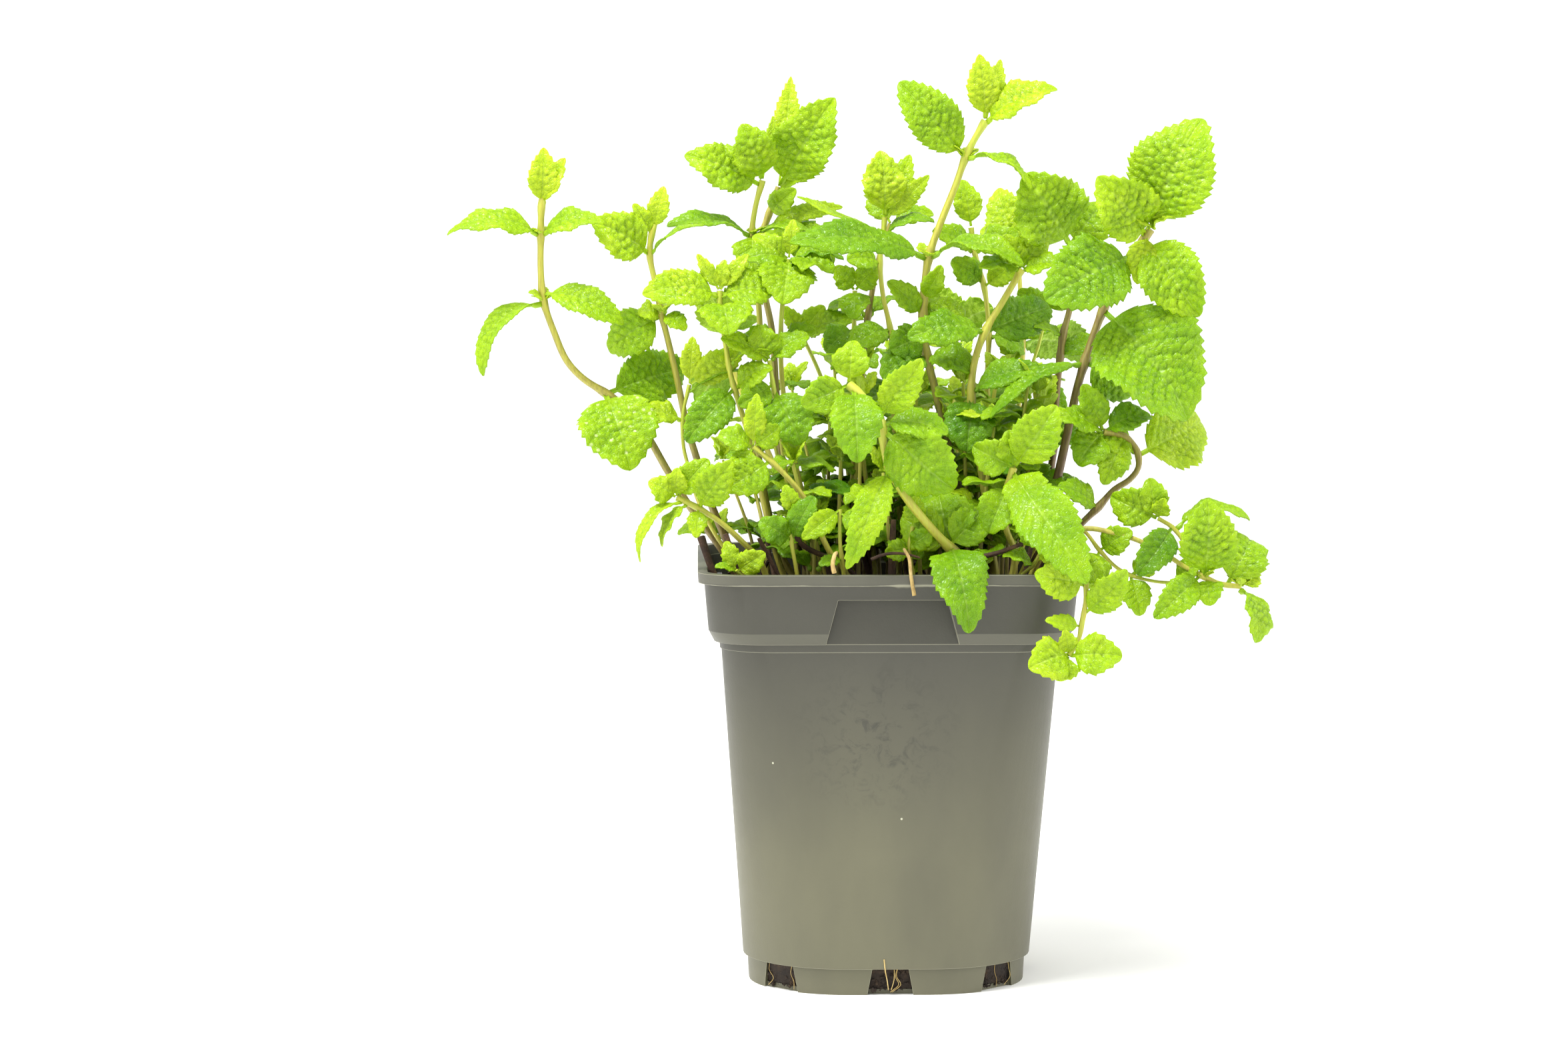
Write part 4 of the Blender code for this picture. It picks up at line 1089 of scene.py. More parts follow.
            ("", (-38, -34, 152), (-37, -36, 167.5), 6, 0.6, "front", 0.9),
            ("", (-38, -34, 152), (-44, -38, 142), 7, 1, "front", 0.6),
            ("", (-38, -34, 152), (-30, -34, 158), 7, 1, "front", 0.6),
        ],
    },
    "centre_second": {
        "root": (-8, 30), "radii": (0.9, 0.6), "wood": (0.3, 0.1),
        "route": [(-10, 30, 140), (-14, 28, 160), (-18, 26, 171), (-21, 25, 178), (-24, 24, 184)],
        "leaves": [
            ("", (-24, 24, 184), (-29, 22, 192.5), 5, 0.5, "front", 0.9),
            ("", (-24, 24, 184), (-7, 14, 190.5), 9.5, 1, "frontUp", 0.6),
            ("", (-24, 24, 184), (-18, 22, 193), 7, 0.6, "front", 0.7),
            ("", (-15, 27.5, 163), (-3, 20, 170), 9, 1, "frontUp", 0.4),
        ],
    },
    "centre_third": {
        "root": (-2, 14), "radii": (0.9, 0.6), "wood": (0.35, 0.1),
        "route": [(-4, 14, 130), (-6.5, 12, 150), (-8.5, 10, 170), (-9, 8, 186), (-8.8, 8, 197)],
        "leaves": [
            ("", (-8.8, 8, 197), (-14.5, 6, 204), 7, 0.5, "front", 0.6),
            ("", (-8.8, 8, 197), (-2.5, 6, 204), 7, 0.5, "front", 0.65),
            ("", (-8.8, 8, 197), (-9, 0, 189), 9, 1, "frontUp", 0.45),
            ("", (-9, 8, 186), (-17, 2, 180), 9, 1, "frontUp", 0.3),
            ("", (-8.5, 10, 170), (3, 2, 164), 11, 1.5, "frontUp", 0.2),
        ],
    },
    "front_centre": {
        "root": (24, -35), "radii": (1.6, 1.15), "wood": (0.28, 0.12), "relief": 0.75,
        "route": [
            (21.5, -40, 120), (18, -43, 123.5), (12, -46, 130), (5, -48, 139), (1, -49, 147),
            (-0.5, -49, 153), (-1.3, -49, 159), (-6, -48, 166), (-10.5, -46, 170),
        ],
        "leaves": [
            ("over_rim", (19, -42.5, 122.7), (25.5, -64, 98), 15, 8, "frontUp", 0.25),
            ("drooping", (1.5, -49, 146), (-10, -66, 116.5), 9.5, 4, "front", 0.6),
            ("broad", (-1, -49, 157), (20, -52, 138.5), 18, 2, "front", 0.42),
            ("", (-9, -47, 168.8), (-8, -60, 147.5), 14, 3, "front", 0.35),
            ("", (-1.6, -49, 160.5), (11, -54, 177), 10, 1.5, "front", 0.7),
            ("", (-10.5, -46, 170), (-9.5, -46, 183), 10, 0.8, "front", 0.65),
            ("", (-10.5, -46, 170), (-24, -50, 164), 10, 1, "front", 0.5),
            ("", (-1.3, -49, 159), (18.5, -50, 156.5), 11, 1.5, "frontUp", 0.4),
            ("", (18, -42, 123.5), (4, -37, 132), 12, 1.5, "front", 0.55),
            ("", (18, -42, 123.5), (28.5, -40, 134), 11, 1, "front", 0.45),
            ("", (19.5, -41, 122.5), (15, -36, 139), 17, 1.5, "front", 0.4),
        ],
    },
    "front_right": {
        "root": (32, -36), "radii": (1.1, 0.9), "wood": (0.45, 0.2), "relief": 0.65,
        "route": [
            (37.5, -37, 121), (35, -40, 128), (34, -42, 135), (35.5, -43, 141), (37, -44, 146),
        ],
        "leaves": [
            ("down", (36.8, -44, 144.5), (59, -68, 113), 16, 4, "front", 0.38),
            ("", (37, -44, 146), (49.5, -48, 164), 13, 2, "front", 0.6),
            ("", (37, -44, 146), (25, -46, 152), 10, 1, "front", 0.5),
            ("", (35.5, -43, 141), (29.5, -48, 127), 11, 1.5, "front", 0.4),
            ("", (37, -44, 146), (36, -46, 157), 9, 0.8, "front", 0.55),
            ("", (36.8, -44, 144.5), (46, -56, 131), 12, 1.5, "front", 0.5),
        ],
    },
    "rim_far_left": {
        "root": (-37, -34), "radii": (0.8, 0.5), "wood": (0.4, 0.1),
        "route": [(-39, -38, 112), (-43, -41, 116.5)],
        "leaves": [
            ("", (-43, -41, 116), (-34.5, -44, 121.5), 7, 1, "front", 0.75),
            ("", (-43, -41, 116), (-49, -43, 118), 4, 0.6, "frontUp", 0.5),
            ("", (-43, -41, 116.5), (-46, -40, 125), 5, 0.5, "front", 0.8),
        ],
    },
    "rim_left": {
        "root": (-25, -36), "radii": (0.8, 0.5), "wood": (0.5, 0.1),
        "route": [(-25.5, -38, 116), (-27, -39, 126), (-26, -39, 133)],
        "leaves": [
            ("", (-27, -39, 125), (-21, -43, 138), 8, 1, "front", 0.15),
            ("", (-27, -39, 125), (-36, -43, 131), 8, 1, "front", 0.25),
            ("", (-26, -39, 133), (-29, -41, 141), 5, 0.5, "front", 0.75),
        ],
    },
    "rim_middle": {
        "root": (-12, -37), "radii": (0.8, 0.5), "wood": (0.4, 0.1),
        "route": [(-12, -39, 116), (-13, -41, 125), (-13, -41, 134)],
        "leaves": [
            ("", (-13, -41, 134), (-24, -45, 125.5), 6.5, 1.5, "front", 0.65),
            ("", (-13, -41, 133), (-4, -45, 128), 6, 1, "front", 0.5),
            ("", (-12.4, -40, 120), (-19, -44, 118), 4, 0.6, "frontUp", 0.3),
        ],
    },
    "rim_right": {
        "root": (8, -37), "radii": (0.8, 0.5), "wood": (0.5, 0.15),
        "route": [(8, -40, 116), (7, -42, 123), (8, -42, 129)],
        "leaves": [
            ("", (7, -42, 123), (14, -45, 128), 6, 0.8, "front", 0.35),
            ("", (7, -42, 123), (0, -44, 121), 6, 0.8, "front", 0.55),
            ("", (8, -42, 129), (9, -43, 138), 6, 0.5, "front", 0.7),
        ],
    },
    "rim_corner": {
        "root": (36, -38), "radii": (0.8, 0.5), "wood": (0.4, 0.1),
        "route": [(39, -41, 114), (43, -44, 118), (46, -46, 124)],
        "leaves": [
            ("", (46, -46, 124), (52, -52, 117), 8, 1.5, "front", 0.8),
            ("", (46, -46, 124), (39, -48, 131), 8, 1, "front", 0.5),
            ("", (43, -44, 118), (34, -47, 121), 7, 0.8, "frontUp", 0.55),
            ("", (46, -46, 124), (53, -48, 131), 8, 0.8, "front", 0.6),
        ],
    },
    "back_left": {
        "root": (-22, 36), "radii": (1.2, 0.8), "wood": (0.6, 0.2),
        "route": [(-23.5, 37.5, 125), (-30, 44, 142), (-37, 50, 158), (-43, 54, 172), (-46, 56, 183)],
        "leaves": [
            ("outer", (-43.5, 55, 173.5), (-54, 76, 165), 15, 4, "backUp", 0.4),
            ("", (-46, 56, 183), (-50, 52, 198), 13, 2, "back", 0.7),
            ("", (-46, 56, 183), (-36, 62, 190), 12, 2, "backUp", 0.6),
            ("", (-37, 50, 158), (-24, 66, 160), 13, 2, "backUp", 0.3),
        ],
    },
    "back_right": {
        "root": (15, 37), "radii": (1.2, 0.8), "wood": (0.6, 0.2),
        "route": [(15.5, 38.5, 127), (17.5, 45, 145), (20, 52, 160), (21, 56, 173), (20, 58, 184)],
        "leaves": [
            ("outer", (20.5, 56, 168), (36, 78, 158), 15, 4, "backUp", 0.4),
            ("", (20, 58, 184), (12, 64, 199), 13, 2, "back", 0.7),
            ("", (20, 58, 184), (31, 62, 192), 12, 2, "backUp", 0.6),
            ("", (20.5, 56, 168), (4, 72, 160), 14, 3, "backUp", 0.35),
        ],
    },
}

stem = {
    "rootDepth": 13,  # mm below the mix's top
    "spacing": 1.6,  # mm between the points of a stem
    "fineSpacing": 0.5,  # mm, for finding where a leaf joins
    "swelling": 0.35, "swellReach": 2.2,  # share and mm, at a node
    "section": (0.90, 0.70),  # corners and flats of the squarish section, as shares of the radius
    "nodeSink": 0.6,  # how deep a leaf stalk sits in the stem, as a share of the stem's radius
    "facingJitter": 0.12,
    "firstSeed": 100,
}


def place(x, y, z):
    # a point of the front elevation, carried to its depth, in metres
    depth = 1 + y * mm / -eye.y
    return Vector((eye.x + (x * mm - eye.x) * depth, y * mm, eye.z + (z * mm - eye.z) * depth))


def smoothPath(points, spacing):
    # points at about that spacing on a centripetal spline through the given ones
    ends = [2 * points[0] - points[1], *points, 2 * points[-1] - points[-2]]
    path = []
    for a, b, c, d in zip(ends, ends[1:], ends[2:], ends[3:]):
        ta = 0.0
        tb = ta + max((b - a).length, 1e-9) ** 0.5
        tc = tb + max((c - b).length, 1e-9) ** 0.5
        td = tc + max((d - c).length, 1e-9) ** 0.5
        steps = max(1, ceil((c - b).length / spacing))
        for step in range(steps):
            t = tb + (tc - tb) * step / steps
            ab = a + (b - a) * (t - ta) / (tb - ta)
            bc = b + (c - b) * (t - tb) / (tc - tb)
            cd = c + (d - c) * (t - tc) / (td - tc)
            left = ab + (bc - ab) * (t - ta) / (tc - ta)
            right = bc + (cd - bc) * (t - tb) / (td - tb)
            path.append(left + (right - left) * (t - tb) / (tc - tb))
    path.append(points[-1].copy())
    return path


def stemPath(shoot, spacing):
    route = [place(*point) for point in shoot["route"]]
    if "root" in shoot:
        x, y = shoot["root"]
        depth = stem["rootDepth"]
        foot = [Vector((x * mm, y * mm, mix["top"] + up * mm)) for up in (-depth, -depth / 2, 2)]
        return smoothPath(foot + route, spacing)
    point = shoot["fork"][1]
    return smoothPath([place(*point), *route], spacing)


def stalkTree():
    # a squarish, grooved stalk along a curve, whose point radii are in metres
    tree, given = newTree("square_stalk", {
        "Corner": "Float", "Flat": "Float", "Foot wood": "Float", "Top wood": "Float",
        "Material": "Material"})
    section = addNode(tree, "GeometryNodeCurveStar", {
        "Points": 4, "Inner Radius": given["Flat"], "Outer Radius": given["Corner"], "Twist": 0.0})
    along = addNode(tree, "GeometryNodeSplineParameter")
    wood = addNode(tree, "ShaderNodeMapRange", {
        "Value": along.outputs["Factor"], "To Min": given["Foot wood"], "To Max": given["Top wood"]})
    aged = addNode(tree, "GeometryNodeStoreNamedAttribute", {
        "Geometry": given["Geometry"], "Name": "wood", "Value": wood.outputs[0]},
        data_type="FLOAT", domain="POINT")
    tube = addNode(tree, "GeometryNodeCurveToMesh", {
        "Curve": aged.outputs[0], "Profile Curve": section.outputs["Curve"],
        "Scale": addNode(tree, "GeometryNodeInputRadius").outputs[0], "Fill Caps": True})
    return endTree(tree, tube.outputs[0], given["Material"])


stalk = stalkTree()


def makeStalks(name, lines, wood, material, slot, section):
    # lines: lists of (point, radius in metres)
    curve = bpy.data.curves.new(name, "CURVE")
    curve.dimensions = "3D"
    for line in lines:
        spline = curve.splines.new("POLY")
        spline.points.add(len(line) - 1)
        for target, (point, radius) in zip(spline.points, line):
            target.co = (*point, 1.0)
            target.radius = radius
    mesh = growOn(workingObject(name, curve), stalk, {
        "Corner": section[0], "Flat": section[1], "Foot wood": wood[0], "Top wood": wood[1],
        "Material": material}, name)
    mesh.shade_smooth()
    return newPiece(name, mesh, slot)


blade = {
    # Spacings, depths, reaches, rises and thicknesses are in mm. The others are counts, or shares of the
    # blade's length or width.
    "petiole": 0.10,  # the stalk
    "tipShare": 0.98, "tipNarrow": 0.35,  # the last share of the length, and how narrow it is
    "toothSpacing": 2.3, "teeth": (5, 15),
    "stepsPerTooth": 5, "fewSteps": 4,
    "toothDepth": 0.28, "toothPerWidth": 0.045, "toothLean": 0.10,
    "column": 0.62, "columns": (4, 23),
    "thickness": 0.28,
    "stalkHalf": (0.28, 0.7), "stalkPerWidth": 0.045, "stalkThick": 0.7, "stalkWidth": 9,
    "keel": 0.45, "keelReach": 0.5, "keelFade": 0.7,
    "midrib": 0.30, "midribReach": 0.55,
    "pairs": (5, 8), "pairStart": 4.5, "pairLength": 11,
    "veinRise": 0.26,  # share that a side vein climbs on its way to the margin
    "panelRise": 0.60,  # between a panel's crown and its veins
    "quiltRise": 0.74,  # between a pucker's crown and the net of fine veins
    "cell": 2.2,  # across a pucker
    "fullWidth": 12,  # from which the relief is at its full size
    # what chance varies from blade to blade; the twist is in radians
    "twist": 0.55, "twistStart": 0.15, "cup": (0.10, 0.32), "waves": (1.5, 3.0), "ripple": (0.04, 0.11),
    "hook": (0.0, 0.13),
}


def outline(run, age):
    # how far each place lies beyond the stalk, and its share of the half-width; older leaves are blunter
    beyond = np.clip((run - blade["petiole"]) / (1 - blade["petiole"]), 0, 1)
    swell = np.clip(np.sin(pi * beyond ** (0.85 - 0.08 * age)), 0, 1)
    return beyond, np.where(run < blade["petiole"], 0.0, swell ** (0.60 + 0.26 * age))


def puckers(x, y, cell, rng):
    # irregular cells between the finest veins: 0 in the grooves, 1 on the crowns
    across = np.arange(x.min() - cell, x.max() + cell, cell)
    along = np.arange(y.min() - cell, y.max() + cell, cell)
    seeds = np.stack(np.meshgrid(across, along), -1).reshape(-1, 2)
    seeds = seeds + rng.uniform(-0.4, 0.4, seeds.shape) * cell
    apart = np.hypot(x.reshape(-1, 1) - seeds[:, 0], y.reshape(-1, 1) - seeds[:, 1])
    near = np.partition(apart, 1, axis=1)[:, :2]
    crown = np.clip((near[:, 1] - near[:, 0]) / (0.75 * cell), 0, 1)
    return (1 - (1 - crown) ** 2).reshape(x.shape)


def spineFrame(run, start, bend, end, up, rng):
    # the midrib's curve, and the three directions that the blade is laid out in along it
    spine = (1 - run) ** 2 * start + 2 * run * (1 - run) * bend + run * run * end
    along = 2 * (1 - run) * (bend - start) + 2 * run * (end - bend)
    along /= np.linalg.norm(along, axis=1, keepdims=True)
    across = np.cross(along, up)
    across /= np.linalg.norm(across, axis=1, keepdims=True)
    normal = np.cross(across, along)
    twist = rng.uniform(-blade["twist"], blade["twist"]) * (run - blade["twistStart"])
    c, w = np.cos(twist), np.sin(twist)
    return spine, along, across * c + normal * w, normal * c - across * w


def sectionLift(out, run, halfWidth, fullness, chord, width, age, rng):
    # the trough across the blade with its wavy margin, and the droop towards the tip, in mm
    cup = rng.uniform(*blade["cup"]) * (1 - 0.5 * age * rng.uniform(0, 1))
    waves = rng.uniform(*blade["waves"])
    left, right = rng.uniform(0, 2 * pi, 2)
    sway = np.where(out < 0, np.sin(2 * pi * waves * run + left), np.sin(2 * pi * waves * run + right))
    edge = np.abs(out)
    ripple = rng.uniform(*blade["ripple"]) * width * sway * edge ** 2 * fullness
    droop = -rng.uniform(*blade["hook"]) * chord * run ** 3
    return cup * halfWidth * edge ** 1.3 + ripple, droop


def closedShell(rows, columns):
    # the quads of an upper side, its rim and its underside, and which of them are the underside
    index = np.arange(rows * columns).reshape(rows, columns)
    corners = (index[:-1, :-1], index[:-1, 1:], index[1:, 1:], index[1:, :-1])
    upper = np.stack([corner.ravel() for corner in corners], 1)
    under = upper[:, ::-1] + rows * columns
    loop = np.concatenate([index[0, :], index[1:, -1], index[-1, -2::-1], index[-2:0:-1, 0]])
    following = np.roll(loop, -1)
    rim = np.stack([following, loop, loop + rows * columns, following + rows * columns], 1)
    return np.concatenate([upper, rim, under]), np.repeat([0, 1], [len(upper) + len(rim), len(under)])


def bladeGrid(start, bend, end, up, width, age, rng, detail, relief):
    # one blade as a closed mesh: points, quads, which quads are the underside, and what the finish reads
    chord = float(np.linalg.norm(end - start)) / mm
    teeth = int(np.clip(round(chord / blade["toothSpacing"] * detail), *blade["teeth"]))
    perTooth = blade["stepsPerTooth"] if detail >= 1 else blade["fewSteps"]
    side = int(np.clip(round(width / 2 / blade["column"] * detail), *blade["columns"]))
    size = min(1.0, width / blade["fullWidth"])
    out = np.linspace(-1, 1, 2 * side + 1)[None, :]
    stalkRows = np.linspace(0, blade["petiole"], 4)[:-1]
    run = np.concatenate([stalkRows, np.linspace(blade["petiole"], 1, teeth * perTooth + 1)])[:, None]
    beyond, fullness = outline(run, age)
    edge = np.abs(out)
    # the toothed margin
    saw = np.where(beyond > 0, ((beyond * teeth) % 1.0) ** 1.2, 0.0) * np.clip(fullness * 4, 0, 1)
    stalkHalf = np.clip(blade["stalkPerWidth"] * width, *blade["stalkHalf"])
    narrowed = stalkHalf * np.where(run < blade["tipShare"], 1.0, blade["tipNarrow"])
    halfWidth = np.maximum(width / 2 * fullness, narrowed)
    tooth = (blade["toothDepth"] + blade["toothPerWidth"] * width) * saw
    x = out * halfWidth + np.sign(out) * edge ** 6 * tooth
    forward = blade["toothLean"] * chord / teeth * saw * edge ** 6
    spine, along, across, normal = spineFrame(run, start, bend, end, up, rng)
    # the quilting between the side veins and the finest ones, in mm
    pairs = int(np.clip(round(blade["pairStart"] + chord / blade["pairLength"]), *blade["pairs"]))
    pair = pairs * (beyond - blade["veinRise"] * edge ** 1.2) + 0.5
    panel = 1 - np.abs(2 * (pair % 1.0) - 1) ** 4
    cell = puckers(x, run * chord * np.ones_like(x), blade["cell"] * (0.6 + 0.4 * size), rng)
    quilt = blade["panelRise"] * panel + blade["quiltRise"] * size * cell
    rise = relief * quilt * size * fullness * (1 - edge ** 8)
    midrib = blade["midrib"] * size * np.exp(-(edge * halfWidth / blade["midribReach"]) ** 2)
    trough, droop = sectionLift(out, run, halfWidth, fullness, chord, width, age, rng)
    high = trough + rise - midrib + droop
    offset = across[:, None, :] * x[:, :, None] + normal[:, None, :] * high[:, :, None]
    top = spine[:, None, :] + (offset + along[:, None, :] * forward[:, :, None]) * mm
    # the thickness, with a keel under the midrib
    reach = np.exp(-(edge * halfWidth / blade["keelReach"]) ** 2)
    keel = blade["keel"] * size * (1 - blade["keelFade"] * run) * reach
    stout = blade["stalkThick"] * min(1.0, width / blade["stalkWidth"])
    thick = blade["thickness"] + keel + np.where(run < blade["petiole"], stout, 0.0)
    bottom = top - normal[:, None, :] * thick[:, :, None] * mm
    rows, columns = x.shape
    points = np.concatenate([top.reshape(-1, 3), bottom.reshape(-1, 3)])
    quads, below = closedShell(rows, columns)
    # painted shade, darker in the grooves between puckers and between the side veins' panels
    shaded = relief * np.maximum((1 - cell) ** 1.5, 1 - panel) * fullness * (1 - edge ** 6)
    return points, quads, below, {
        "across": np.tile(np.broadcast_to(out, (rows, columns)).ravel(), 2),
        "pair": np.tile(np.where(beyond > 0, pair + 0.5, 0.0).ravel(), 2),
        "age": np.full(len(points), age),
        "grooveShade": np.tile(shaded.ravel(), 2),
    }


def makeLeaves(name, blades, nodes):
    points, quads, below = [], [], []
    values = {"across": [], "pair": [], "age": [], "grooveShade": [], "fleck": []}
    start = 0
    for (own, faces, lower, read), fleck in blades:
        points.append(own)
        quads.append(faces + start)
        below.append(lower)
        start += len(own)
        for key, value in read.items():
            values[key].append(value)
        values["fleck"].append(np.full(len(own), fleck))
    mesh = bpy.data.meshes.new(name)
    mesh.from_pydata(np.concatenate(points).tolist(), [], np.concatenate(quads).tolist())
    mesh.materials.append(leafUpper)
    mesh.materials.append(leafUnder)
    mesh.polygons.foreach_set("material_index", np.concatenate(below))
    for key, parts in values.items():
        layer = mesh.attributes.new(key, "FLOAT", "POINT")
        layer.data.foreach_set("value", np.concatenate(parts).astype(np.float32))
    mesh.shade_smooth()
    mesh.update()
    made = newPiece(name, mesh, "leaves")
    if nodes:
        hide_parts(*nodes)


def bladeFrom(path, radius, node, tip, width, arch, up, age, rng, detail=1.0, relief=1.0):
    up = up.normalized()
    start = min(path, key=lambda p: (p - node).length)
    chord = (tip - start).normalized()
    lift = (up - up.dot(chord) * chord).normalized()
    bend = (start + tip) / 2 + lift * 2 * arch * mm
    start = start + (bend - start).normalized() * radius * stem["nodeSink"]
    return bladeGrid(*[np.array(v) for v in (start, bend, tip, up)], width, age, rng, detail, relief)


bud = {
    "leaves": 4, "rise": (0.4, 1.1), "length": (0.6, 1.1), "shape": 0.45,
    "arch": 0.2,  # mm
    "age": 0.95, "detail": 0.6,
}


def budBlades(path, radius, node, size, rng):
    # a tuft of small new leaves in a leaf axil
    made = []
    here = min(path, key=lambda p: (p - node).length)
    for _ in range(bud["leaves"]):
        turn = rng.uniform(0, 2 * pi)
        rise = rng.uniform(*bud["rise"])
        way = Vector((cos(turn), sin(turn) - 0.3, rise)).normalized()
        tip = here + way * size * rng.uniform(*bud["length"]) * mm
        up = Vector((-way.x, -way.y - 0.4, 1.0))
        leaf = bladeFrom(
            path, radius, here, tip, size * bud["shape"], bud["arch"], up, bud["age"], rng, bud["detail"])
        made.append((leaf, 0.0))
    return made


def stemLine(shoot, path):
    # the points of a stem with their radii, thicker near each leaf
    low, high = shoot["radii"]
    joints = [place(*leaf[1]) for leaf in shoot["leaves"]]
    line = []
    for i, point in enumerate(path):
        radius = low + (high - low) * i / (len(path) - 1)
        near = min([(point - joint).length for joint in joints] or [1.0]) / mm
        line.append((point, radius * mm * (1 + stem["swelling"] * np.exp(-(near / stem["swellReach"]) ** 2))))
    return line


def makeShoot(name, shoot, seed):
    rng = np.random.default_rng(seed)
    line = stemLine(shoot, stemPath(shoot, stem["spacing"] * mm))
    stalks = makeStalks("mint_stem_" + name, [line], shoot["wood"], stemSkin, "stems", stem["section"])
    if "stem_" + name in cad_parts:
        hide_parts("stem_" + name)
    fine = stemPath(shoot, stem["fineSpacing"] * mm)
    thick = shoot["radii"][1] * mm
    jitter = stem["facingJitter"]
    blades, nodes = [], []
    for leaf, node, tip, width, arch, way, age in shoot["leaves"]:
        up = Vector(facing[way]) + Vector(rng.uniform(-jitter, jitter, 3))
        made = bladeFrom(
            fine, thick, place(*node), place(*tip), width, arch, up, age, rng,
            relief=shoot.get("relief", 1.0))
        blades.append((made, 1.0 if leaf == "mottled" else 0.0))
        if leaf:
            nodes.append(f"leaf_{name}_{leaf}")
    for node, size in shoot.get("buds", []):
        blades += budBlades(fine, thick, place(*node), size, rng)
    if blades:
        makeLeaves("mint_leaves_" + name, blades, nodes)


for number, (name, shoot) in enumerate(shoots.items()):
    makeShoot(name, shoot, stem["firstSeed"] + number)
print("shoots made")

# low growth that fills the middle and the back of the pot
thicket = {
    # piece name: (seed, shoots, depths it fills)
    "clumps": {"front": (7, 20, (-30, 2)), "middle": (21, 18, (-4, 26)), "back": (33, 18, (18, 42))},
    # Places and sizes are in mm, turns in radians. Sag, tapers, shapes, wood, ages and detail are shares.
    "reach": 40, "foot": 100, "tops": (126, 178),
    "edgeStart": 24, "edgeDrop": 0.55,  # outside it a shoot is shorter by this for each mm
    "leanOut": (0.2, 0.4),  # shares of x and y
    "leanAside": (-6, 6), "leanDepth": (-4, 6), "sag": 0.3,
    "spacing": 1.5, "radius": (0.6, 1.0), "taper": 0.3, "wood": (0.7, 0.15),
    "firstNode": 119, "firstSpread": 10, "nodeSpacing": 12, "nodeSpread": (-2, 3), "overTop": 3,
    "leafLength": (11, 21), "leafShape": 0.64, "leafArch": (0.5, 2.5),
    "leafTurn": 0.3, "leafRise": (-0.25, 0.6),  # radians, and a share
    "youngReach": 10, "youngShare": 0.7, "ages": (0.38, 0.62), "ageSpread": 0.16,  # ages: old, young
    "tipTurns": (0.4, 2.6, 4.6), "tipLength": (6, 9), "tipWidth": 4.5, "tipArch": 0.4, "tipAge": 0.9,
    "detail": 0.65,
    "clear": 0.0485, "overLip": 0.0005,  # m
}


def throughWall(points):
    # whether a blade would cut the collar's wall: it reaches the wall below the lip's flat top
    beside = np.abs(points[:, :2]).max(axis=1) > thicket["clear"]
    return bool((beside & (points[:, 2] < pot["height"] + thicket["overLip"])).any())


def thicketShoot(depths, rng):
    # a shoot's path and its radius in metres, and the height of its top in mm
    x = rng.uniform(-thicket["reach"], thicket["reach"])
    y = rng.uniform(*depths)
    top = rng.uniform(*thicket["tops"]) - thicket["edgeDrop"] * max(0, abs(x) - thicket["edgeStart"])
    leanX = x * thicket["leanOut"][0] + rng.uniform(*thicket["leanAside"])
    leanY = max(0.0, y) * thicket["leanOut"][1] + rng.uniform(*thicket["leanDepth"])
    lean = Vector((leanX, leanY, 0)) * mm
    foot = Vector((x, y, thicket["foot"])) * mm
    head = Vector((x, y, top)) * mm + lean
    middle = (foot + head) / 2 - lean * thicket["sag"]
    path = smoothPath([foot, middle, head], thicket["spacing"] * mm)
    return path, rng.uniform(*thicket["radius"]) * mm, top


def nodeLeaves(path, radius, height, top, turn, rng):
    # a pair of leaves at one node, unless they would cut the pot
    made = []
    node = min(path, key=lambda p: abs(p.z - height * mm))
    young = height > top - thicket["youngReach"]
    for side in (0, pi):
        angle = turn + side + rng.uniform(-thicket["leafTurn"], thicket["leafTurn"])
        length = rng.uniform(*thicket["leafLength"]) * (thicket["youngShare"] if young else 1)
        way = Vector((cos(angle), sin(angle), rng.uniform(*thicket["leafRise"])))
        up = Vector((-0.3 * way.x, -0.3 * way.y - 0.25, 1.0))
        age = float(np.clip(rng.normal(thicket["ages"][int(young)], thicket["ageSpread"]), 0.05, 0.95))
        leaf = bladeFrom(
            path, radius, node, node + way * length * mm, length * thicket["leafShape"],
            rng.uniform(*thicket["leafArch"]), up, age, rng, thicket["detail"])
        if not throughWall(leaf[0]):
            made.append((leaf, 0.0))
    return made


def tipLeaves(path, radius, turn, rng):
    # three new leaves at a shoot's end
    made = []
    tip = path[-1]
    for turned in thicket["tipTurns"]:
        way = Vector((0.5 * cos(turned + turn), 0.5 * sin(turned + turn), 1.0))
        end = tip + way * rng.uniform(*thicket["tipLength"]) * mm
        up = Vector((-way.x, -way.y - 0.6, 0.6))
        made.append((bladeFrom(
            path, radius, tip, end, thicket["tipWidth"], thicket["tipArch"], up, thicket["tipAge"], rng,
            thicket["detail"]), 0.0))
    return made


def makeThicket(name, seed, count, depths):
    rng = np.random.default_rng(seed)
    lines, blades = [], []
    for _ in range(count):
        path, radius, top = thicketShoot(depths, rng)
        lines.append([(p, radius * (1 - thicket["taper"] * k / len(path))) for k, p in enumerate(path)])
        turn = rng.uniform(0, pi)
        height = thicket["firstNode"] + rng.uniform(0, thicket["firstSpread"])
        while height < top + thicket["overTop"]:
            blades += nodeLeaves(path, radius, height, top, turn, rng)
            turn += pi / 2
            height += thicket["nodeSpacing"] + rng.uniform(*thicket["nodeSpread"])
        blades += tipLeaves(path, radius, turn, rng)
    makeStalks(f"thicket_stems_{name}", lines, thicket["wood"], stemSkin, "stems", stem["section"])
    makeLeaves(f"thicket_leaves_{name}", blades, [])


for clump, (seed, count, depths) in thicket["clumps"].items():
    makeThicket(clump, seed, count, depths)
print("thicket made")

